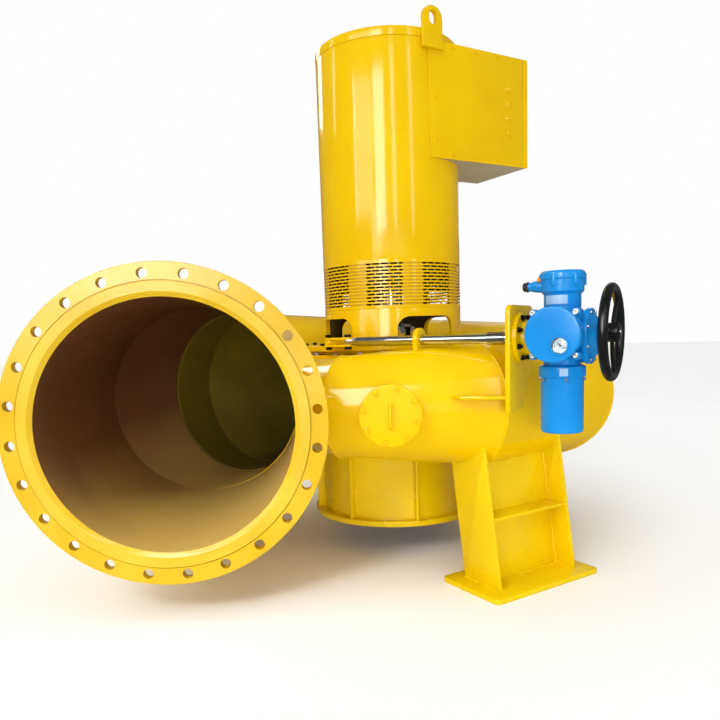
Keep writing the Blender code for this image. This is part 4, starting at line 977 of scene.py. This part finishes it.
for side, azimuth in legs["azimuths"].items():
    place = spoke(azimuth, sectionCentre(180 - azimuth) + legs["out"]) @ spin("Z", legs["twist"])
    standing = place @ move(z=footTop)
    x, y = legs["footWidth"] / 2, legs["footLength"] / 2
    leg = placed(slab(roundedBox(-x, -y, x, y, 0.02, 0.02, 6), legs["floor"], footTop, 0.0016), place)
    for low, high in legPlates:
        plate = carve(placed(block(low, high, 0.0014), standing @ lean), caseBody)
        merge(leg, carve(plate, pipeBody) if side == "Left" else plate)
    makePiece(f"leg{side}", leg, brushedEnamel, f"leg_{side.lower()}", angle=28)
    seams = bmesh.new()
    for x in (-0.0075, 0.0075):
        merge(seams, straightWeld(Vector((x, -inside, 0.001)), Vector((x, inside, 0.001)), 0.004), standing)
        for y in (-inside + 0.001, inside - 0.001):
            foot, head = (Vector((x - legs["lean"] * z, y, z)) for z in (0.002, 0.5))
            spot = hitCase(standing @ foot, standing @ head)
            if spot:
                share = (spot - standing @ foot).length / (head - foot).length
                merge(seams, straightWeld(foot, foot.lerp(head, share), 0.0035), standing)
    for y in (inside + thick + 0.001, inside - 0.001):
        for end in (-y, y):
            merge(seams, straightWeld(Vector((-width, end, 0.001)), Vector((width, end, 0.001)), 0.0042),
                  standing)
    for shift in (-thick / 2 - 0.001, thick / 2 + 0.001):
        for line in [topWeld(standing, 0, y + shift, Vector((width, 0, 0)))
                     for y in (-inside - thick / 2, inside + thick / 2)] + [
                         topWeld(standing, shift, 0, Vector((0, inside, 0)))]:
            if len(line) > 8:
                merge(seams, sweep(line, 0.0045, 7, ripple=0.1, pitch=0.013))
    makePiece(f"leg{side}Welds", seams, brushedEnamel, angle=60)

print("rod, link and regulating ring")
rodWork = {"z": 0.237, "radius": 0.018, "end": 0.800, "eye": 0.043, "threadStart": 0.607,
           "threadEnd": 0.668, "thread": 0.022, "turns": 22}
rodPlace = rodLine @ move(z=rodWork["z"])
radius, crest, end = rodWork["radius"], rodWork["thread"], rodWork["end"]
rodOutline = [(0, 0.062), (0.011, 0.063), (0.0155, 0.076), (radius, 0.088), (radius, 0.226),
              (radius + 0.0012, 0.227), (radius + 0.0012, 0.262), (radius, 0.263),
              (radius, rodWork["threadStart"])]
pitch = (rodWork["threadEnd"] - rodWork["threadStart"]) / rodWork["turns"]
for k in range(rodWork["turns"]):
    rodOutline += [(crest - depth, rodWork["threadStart"] + pitch * (k + share)) for depth, share in (
        (0.0016, 0.05), (0, 0.4), (0, 0.6), (0.0016, 0.95))]
rodOutline += [(radius, rodWork["threadEnd"]), (radius, end - 0.002), (radius - 0.002, end), (0, end)]
eyeX = rodWork["eye"]
eye = slab([(eyeX + 0.034, -0.0105), (eyeX + 0.034, 0.0105)] + arc((eyeX, 0), 0.016, 60, 300, 28),
           -0.009, 0.009, 0.001)
eye = carve(eye, slab(arc((eyeX, 0), 0.0086, 0, 360, 32)[:-1], -0.05, 0.05))
makePiece("regulatingRod", merge(placed(lathe(rodOutline, 64), facing), eye), groundSteel, "regulating_rod",
          rodPlace, 30, body="rod")

linkWork = {"reach": 0.088, "half": 0.017, "hole": 0.0118, "low": 0.0096, "thickness": 0.008, "apart": 0.0272}
linkPlace, reach, low = rodPlace @ move(eyeX), linkWork["reach"], linkWork["low"]
shape = arc((0, 0), linkWork["half"], -90, 90, 16) + arc((-reach, 0), linkWork["half"], 90, 270, 16)
plate = carve(slab(shape, low, low + linkWork["thickness"], 0.0010),
              slab(arc((-reach, 0), linkWork["hole"], 0, 360, 32)[:-1], -0.05, 0.05))
links = repeated(plate, (Matrix(), move(z=-linkWork["apart"])))
makePiece("linkPlates", links, yellowEnamel, "link_plates", linkPlace, 28, body="link")


def pinWithHeads(half, across, height):
    # pin with a hexagon head at either end
    places = (move(z=half), move(z=-half) @ upsideDown)
    return merge(tube(0, 0.008, -half, half, 32), repeated(boltHead(across, height, 0.0015, 0.9), places))


makePiece("linkPin", pinWithHeads(0.0176, 0.024, 0.010), blackSteel, place=linkPlace, body="link")

arm = {"inner": 0.345, "outer": 0.402, "half": 0.040, "eye": 0.0165, "thick": 0.009, "pinBack": 0.045}
pinRadius = hypot(rodOffset, arm["pinBack"])  # the pin lies pinBack behind where the rod passes nearest
ringAzimuth = rodTurn - 90 - degrees(atan2(arm["pinBack"], rodOffset))
ringSpot = spoke(ringAzimuth)
ringBody = tube(*regRing.values(), 160, 0.002)
inner, outer, half, low, high = arm["inner"], arm["outer"], arm["half"], regRing["high"], rodWork["z"]
shape = [(outer, half), (inner, half), (inner, -half), (outer, -half)]
shape += arc((pinRadius, 0), arm["eye"], -60, 60, 14)
merge(ringBody, slab(shape, high - arm["thick"], high + arm["thick"], 0.001), ringSpot)
merge(ringBody, block((inner, -half, low - 0.004), (outer, half, high + 0.0085), 0.001), ringSpot)
makePiece("regulatingRing", ringBody, yellowEnamel, "regulating_ring", body="ring")
makePiece("ringPin", pinWithHeads(0.0188, 0.0235, 0.0095), blackSteel,
          place=turbineAxis @ ringSpot @ move(pinRadius, 0, rodWork["z"]), body="ring")
fasten("ringBolts", boltHead(0.017, 0.008, 0.0015, 0.9), evenly(12, ringAzimuth + 15, 0.385, low),
       blackSteel, body="ring")

print("brackets")
guide = {"x": 0.348, "thickness": 0.016, "head": 0.044, "half": 0.034, "foot": 0.12}
shape = [(guide["half"], guide["foot"])] + arc((0, rodWork["z"]), guide["head"], 0, 180, 28)
shape.append((-guide["half"], guide["foot"]))
guidePlate = slab(shape, guide["x"] - guide["thickness"] / 2, guide["x"] + guide["thickness"] / 2, 0.0016)
guidePlate = carve(placed(guidePlate, rodSpot @ upright), caseBody)
rodRoute = rodSpot @ move(z=rodWork["z"]) @ facing
guidePlate = carve(guidePlate, placed(tube(0, 0.0187, 0.2, 0.5, 40), rodRoute))
makePiece("guideBracket", guidePlate, yellowEnamel, "guide_bracket", angle=28)

bracket = {"x": 0.700, "thickness": 0.016, "near": -0.098, "far": 0.154, "top": 0.345, "bottom": -0.004}
x = bracket["x"]
shape = roundedBox(bracket["near"], bracket["bottom"], bracket["far"], bracket["top"], 0.002, 0.03)
bracketPlate = carve(placed(slab(shape, x, x + bracket["thickness"], 0.0016), rodSpot @ upright), caseBody)
bracketPlate = carve(bracketPlate, placed(tube(0, 0.030, 0.6, 0.8, 48), rodRoute))
shelf = slab([(x + 0.004, -0.096), (x + 0.004, 0.12), (0.50, 0.12), (0.50, -0.10), (0.56, -0.141)],
             0.040, 0.050, 0.0012)
web = slab([(x + 0.004, 0.10), (x + 0.004, 0.282), (0.60, 0.225), (0.56, 0.16)], -0.080, -0.070, 0.0012)
for plate, place in ((shelf, rodSpot), (web, rodSpot @ spin("X", 90))):
    merge(bracketPlate, carve(placed(plate, place), caseBody))
makePiece("actuatorBracket", bracketPlate, yellowEnamel, "actuator_bracket", angle=28)

print("actuator")
drive = {"z": 0.237, "adaptor": 0.0825, "adaptorStart": 0.7163, "adaptorEnd": 0.775, "motorX": 0.858,
         "motor": 0.068, "caseEnd": 0.972, "coverNear": -0.150, "coverRadius": 0.086, "coverX": 0.864,
         "coverZ": 0.247, "ears": 0.093}
start, end, caseEnd, motorX = (drive[key] for key in ("adaptorStart", "adaptorEnd", "caseEnd", "motorX"))
driveSpot = move(z=drive["z"]) @ facing
coverSpot = move(drive["coverX"], 0, drive["coverZ"]) @ spin("X", -90)
drivePlace, coverPlace, headPlace = rodLine @ driveSpot, rodLine @ coverSpot, rodLine @ move(motorX)
adaptor = lathe([(0.030, start), (drive["adaptor"], start), (drive["adaptor"], start + 0.014),
                 (0.058, start + 0.020), (0.056, end), (0.030, end)], 72,
                [0.001, 0.001, 0.003, 0.006, 0.002, 0.001], 4)
makePiece("actuatorAdaptor", adaptor, yellowEnamel, "actuator_adaptor", drivePlace)
fasten("adaptorBolts", merge(boltHead(0.017, 0.009, 0.0018, 0.9), stud(0.005, 0.017)),
       evenly(8, 22.5, 0.070, start + 0.0158, False), blackSteel, drivePlace)

low, front, coverRadius = end + 0.0003, drive["coverNear"], drive["coverRadius"]
near = front + 0.0263
gearcase = placed(lathe([(0, low), (0.060, low), (0.072, low + 0.012), (0.078, 0.930), (0.088, 0.936),
                         (0.088, 0.952), (0.070, 0.958), (0.050, caseEnd), (0, caseEnd)], 72,
                        [0, 0.004, 0.006, 0.003, 0.002, 0.002, 0.004, 0.004, 0], 4), driveSpot)
merge(gearcase, lathe([(0, near), (coverRadius, near), (coverRadius, near + 0.016), (0.078, near + 0.022),
                       (0.078, 0.062), (0.060, 0.078), (0, 0.078)], 72,
                      [0, 0.0015, 0.002, 0.004, 0.01, 0.008, 0], 4), coverSpot)
merge(gearcase, tube(0, 0.058, drive["z"] - 0.088, drive["z"] + 0.098, 64), move(motorX))
ear = lathe([(0, near + 0.001), (0.0125, near + 0.001), (0.0125, near + 0.045), (0.004, near + 0.060),
             (0, near + 0.060)], 24, 0.003)  # the cover's screws go into these
merge(gearcase, repeated(ear, evenly(4, 45, drive["ears"], facingOut=False)), coverSpot)
rib = block((0.070, -0.003, 0.880), (0.0835, 0.003, 0.936), 0.0015)  # cast, round the rear
merge(gearcase, repeated(rib, evenly(6, 0)), driveSpot)
makePiece("actuatorGearcase", gearcase, blueEnamel, "actuator_gearcase", rodLine)

window = {"x": 0.0235, "z": -0.034, "ring": 0.032, "recess": 0.0245, "dial": 0.0215, "pointer": 137.51}
windowSpot = move(window["x"], -window["z"])  # the cover's own y points down
windowPlace, recess, ring = coverPlace @ windowSpot, window["recess"], window["ring"]
frontCover = tube(0, coverRadius, front + 0.026, front, 96, [0, 0.001, 0.007, 0], 5)
frontCover = carve(frontCover, placed(tube(0, recess, front - 0.02, front + 0.014, 48), windowSpot))
merge(frontCover, lathe([(recess - 0.0005, front + 0.002), (recess - 0.0005, front - 0.004),
                         (ring - 0.003, front - 0.004), (ring, front + 0.002)], 64, 0.0015), windowSpot)
makePiece("actuatorCover", frontCover, blueEnamel, "actuator_cover", coverPlace)
outer, inner, back = recess - 0.0004, recess - 0.0014, front + 0.0138
lining = lathe([(outer, front + 0.0005), (outer, back), (0, back), (0, back - 0.001),
                (inner, back - 0.001), (inner, front + 0.0005)], 48)
makePiece("dialHousing", lining, blackPlastic, place=windowPlace)
dial = tube(0, window["dial"], front + 0.0127, front + 0.0105, 48, 0.0006)
makePiece("positionDial", dial, dialSilver, place=windowPlace)
pointer = block((-0.0012, -0.002, front + 0.0098), (0.0012, 0.013, front + 0.0106), 0.0003)
merge(pointer, tube(0, 0.0028, front + 0.0092, front + 0.0106, 20))
tick = block((-0.0004, 0.0165, front + 0.0101), (0.0004, 0.0195, front + 0.0106))
merge(pointer, repeated(tick, [spin("Z", -120 + 30 * k) for k in range(9)]))
makePiece("dialPointer", pointer, blackPlastic, place=windowPlace @ spin("Z", window["pointer"]))
pane = tube(0, recess - 0.0016, front + 0.001, front + 0.004, 48, 0.0005)
makePiece("dialWindow", pane, glass, place=windowPlace)
fasten("coverScrews", capScrew(0.0085, 0.009), [
    place @ upsideDown for place in evenly(4, 45, drive["ears"], near + 0.001, False)], zincSteel, coverPlace)

motorTop, motorFoot, motor, band = drive["z"] - 0.0883, -0.072, drive["motor"], drive["motor"] + 0.006
motorBody = lathe([(0, motorTop), (0.060, motorTop), (band, motorTop - 0.006), (band, motorTop - 0.038),
                   (motor, motorTop - 0.041), (motor, motorFoot), (0, motorFoot)], 96,
                  [0, 0.003, 0.003, 0.002, 0.002, 0.010, 0], 5)
makePiece("actuatorMotor", motorBody, blueEnamel, "actuator_motor", headPlace)
headLow = drive["z"] + 0.0983
head = lathe([(0, headLow), (0.058, headLow), (0.058, 0.372), (0.067, 0.380), (0.067, 0.418),
              (0.071, 0.420), (0.071, 0.436), (0.064, 0.445), (0, 0.445)], 96,
             [0, 0.001, 0.006, 0.004, 0.001, 0.0015, 0.002, 0.006, 0], 5)
hornSpot = move(0, -0.012, 0.400) @ facing @ spin("X", 180)  # cable entry, on the side of the link
horn = lathe([(0, 0.03), (0.026, 0.03), (0.017, 0.092), (0.0145, 0.094), (0.0145, 0.106), (0, 0.106)], 40,
             0.002)
merge(head, horn, hornSpot)
boss = tube(0, 0.008, 0.398, 0.4345, 20, 0.0015)  # screw bosses round the lid
merge(head, repeated(boss, evenly(6, 20, 0.0655, facingOut=False)))
makePiece("actuatorHead", head, blueEnamel, "actuator_head", headPlace)

smallScrews = repeated(capScrew(0.0052, 0.004), evenly(6, 20, 0.0655, 0.4343, False))
merge(smallScrews, repeated(capScrew(0.0052, 0.007), [  # at the foot of the motor's band
    place @ facing for place in evenly(6, -126, band - 0.0035, motorTop - 0.046)]))
makePiece("actuatorScrews", smallScrews, zincSteel, place=headPlace)
fasten("rearScrews", capScrew(0.0055, 0.0055), evenly(8, 22.5, 0.080, 0.9518, False), zincSteel, drivePlace)
gland = lathe([(0, 0.104), (0.0165, 0.104), (0.0165, 0.112), (0.0145, 0.114), (0.0145, 0.122),
               (0.008, 0.124), (0, 0.124)], 6, 0.001)
merge(gland, lathe([(0, 0.110), (0.0135, 0.110), (0.0125, 0.1235), (0, 0.124)], 28, 0.002))
makePiece("cableGland", gland, blackPlastic, place=headPlace @ hornSpot)
plug = tube(0, 0.0075, 0, 0.010, 24, 0.002)
makePiece("ventPlug", plug, orangePlastic, place=headPlace @ move(-0.062, -0.030, 0.418) @ spin("Y", -75))


def curvedPlate(radius, centre, width, low, high, thickness=0.0008, steps=12):
    # thin bare nameplate bent round a cylinder; centre and width in degrees
    bm = bmesh.new()
    arcs = [arc((0, 0), radius + grow, centre - width / 2, centre + width / 2, steps)
            for grow in (0.0002, thickness)]
    closeSheets(bm, *(gridFaces(bm, [[(x, y, z) for x, y in line] for z in (low, high)]) for line in arcs))
    return bm


plates = curvedPlate(0.058, -97, 72, 0.3405, 0.3680)
merge(plates, curvedPlate(band, -72, 20, motorTop - 0.034, motorTop - 0.010))
makePiece("barePlates", plates, plateFilm, place=headPlace)

wheel = {"x": 1.010, "z": 0.247, "radius": 0.153, "rim": 0.015, "spokes": 3, "firstSpoke": 20}
wheelPlace = rodLine @ move(wheel["x"], 0, wheel["z"]) @ facing
rimRadius = wheel["radius"] - wheel["rim"]
handwheel = lathe(arc((rimRadius, 0), wheel["rim"], 0, 360, 32)[:-1], 128)
hubLow = caseEnd + 0.0006 - wheel["x"]
merge(handwheel, lathe([(0, hubLow), (0.030, hubLow), (0.030, 0.020), (0.022, 0.026), (0, 0.026)], 64,
                       [0, 0.002, 0.004, 0.003, 0], 4))
wheelSpoke = bmesh.new()
rows = []
for step in range(17):  # flat oval bar, wider at the rim and slightly dished
    share = step / 16
    reach, halfWide = 0.020 + (rimRadius - 0.020) * share, 0.012 + 0.004 * share ** 2
    rows.append([(reach, halfWide * cos(a), 0.0065 * sin(a) - 0.002 * sin(pi * share))
                 for a in (2 * pi * s / 20 for s in range(21))])
gridFaces(wheelSpoke, rows)
bmesh.ops.remove_doubles(wheelSpoke, verts=wheelSpoke.verts, dist=1e-6)
bmesh.ops.holes_fill(wheelSpoke, edges=wheelSpoke.edges)
merge(handwheel, repeated(wheelSpoke, evenly(wheel["spokes"], wheel["firstSpoke"])))
makePiece("handwheel", handwheel, blackPlastic, "handwheel", wheelPlace, 40, body="wheel")
makePiece("wheelCap", tube(0, 0.013, 0.0255, 0.029, 32, 0.0015), zincSteel, place=wheelPlace, body="wheel")
discard(caseBody)
discard(pipeBody)

print("painting the drum behind the vents")
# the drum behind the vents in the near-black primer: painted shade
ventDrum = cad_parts["vent_drum"].data
ventDrum.materials.clear()
ventDrum.materials.append(shadePrimer)
smoothByAngle(ventDrum, 20)

print("done")
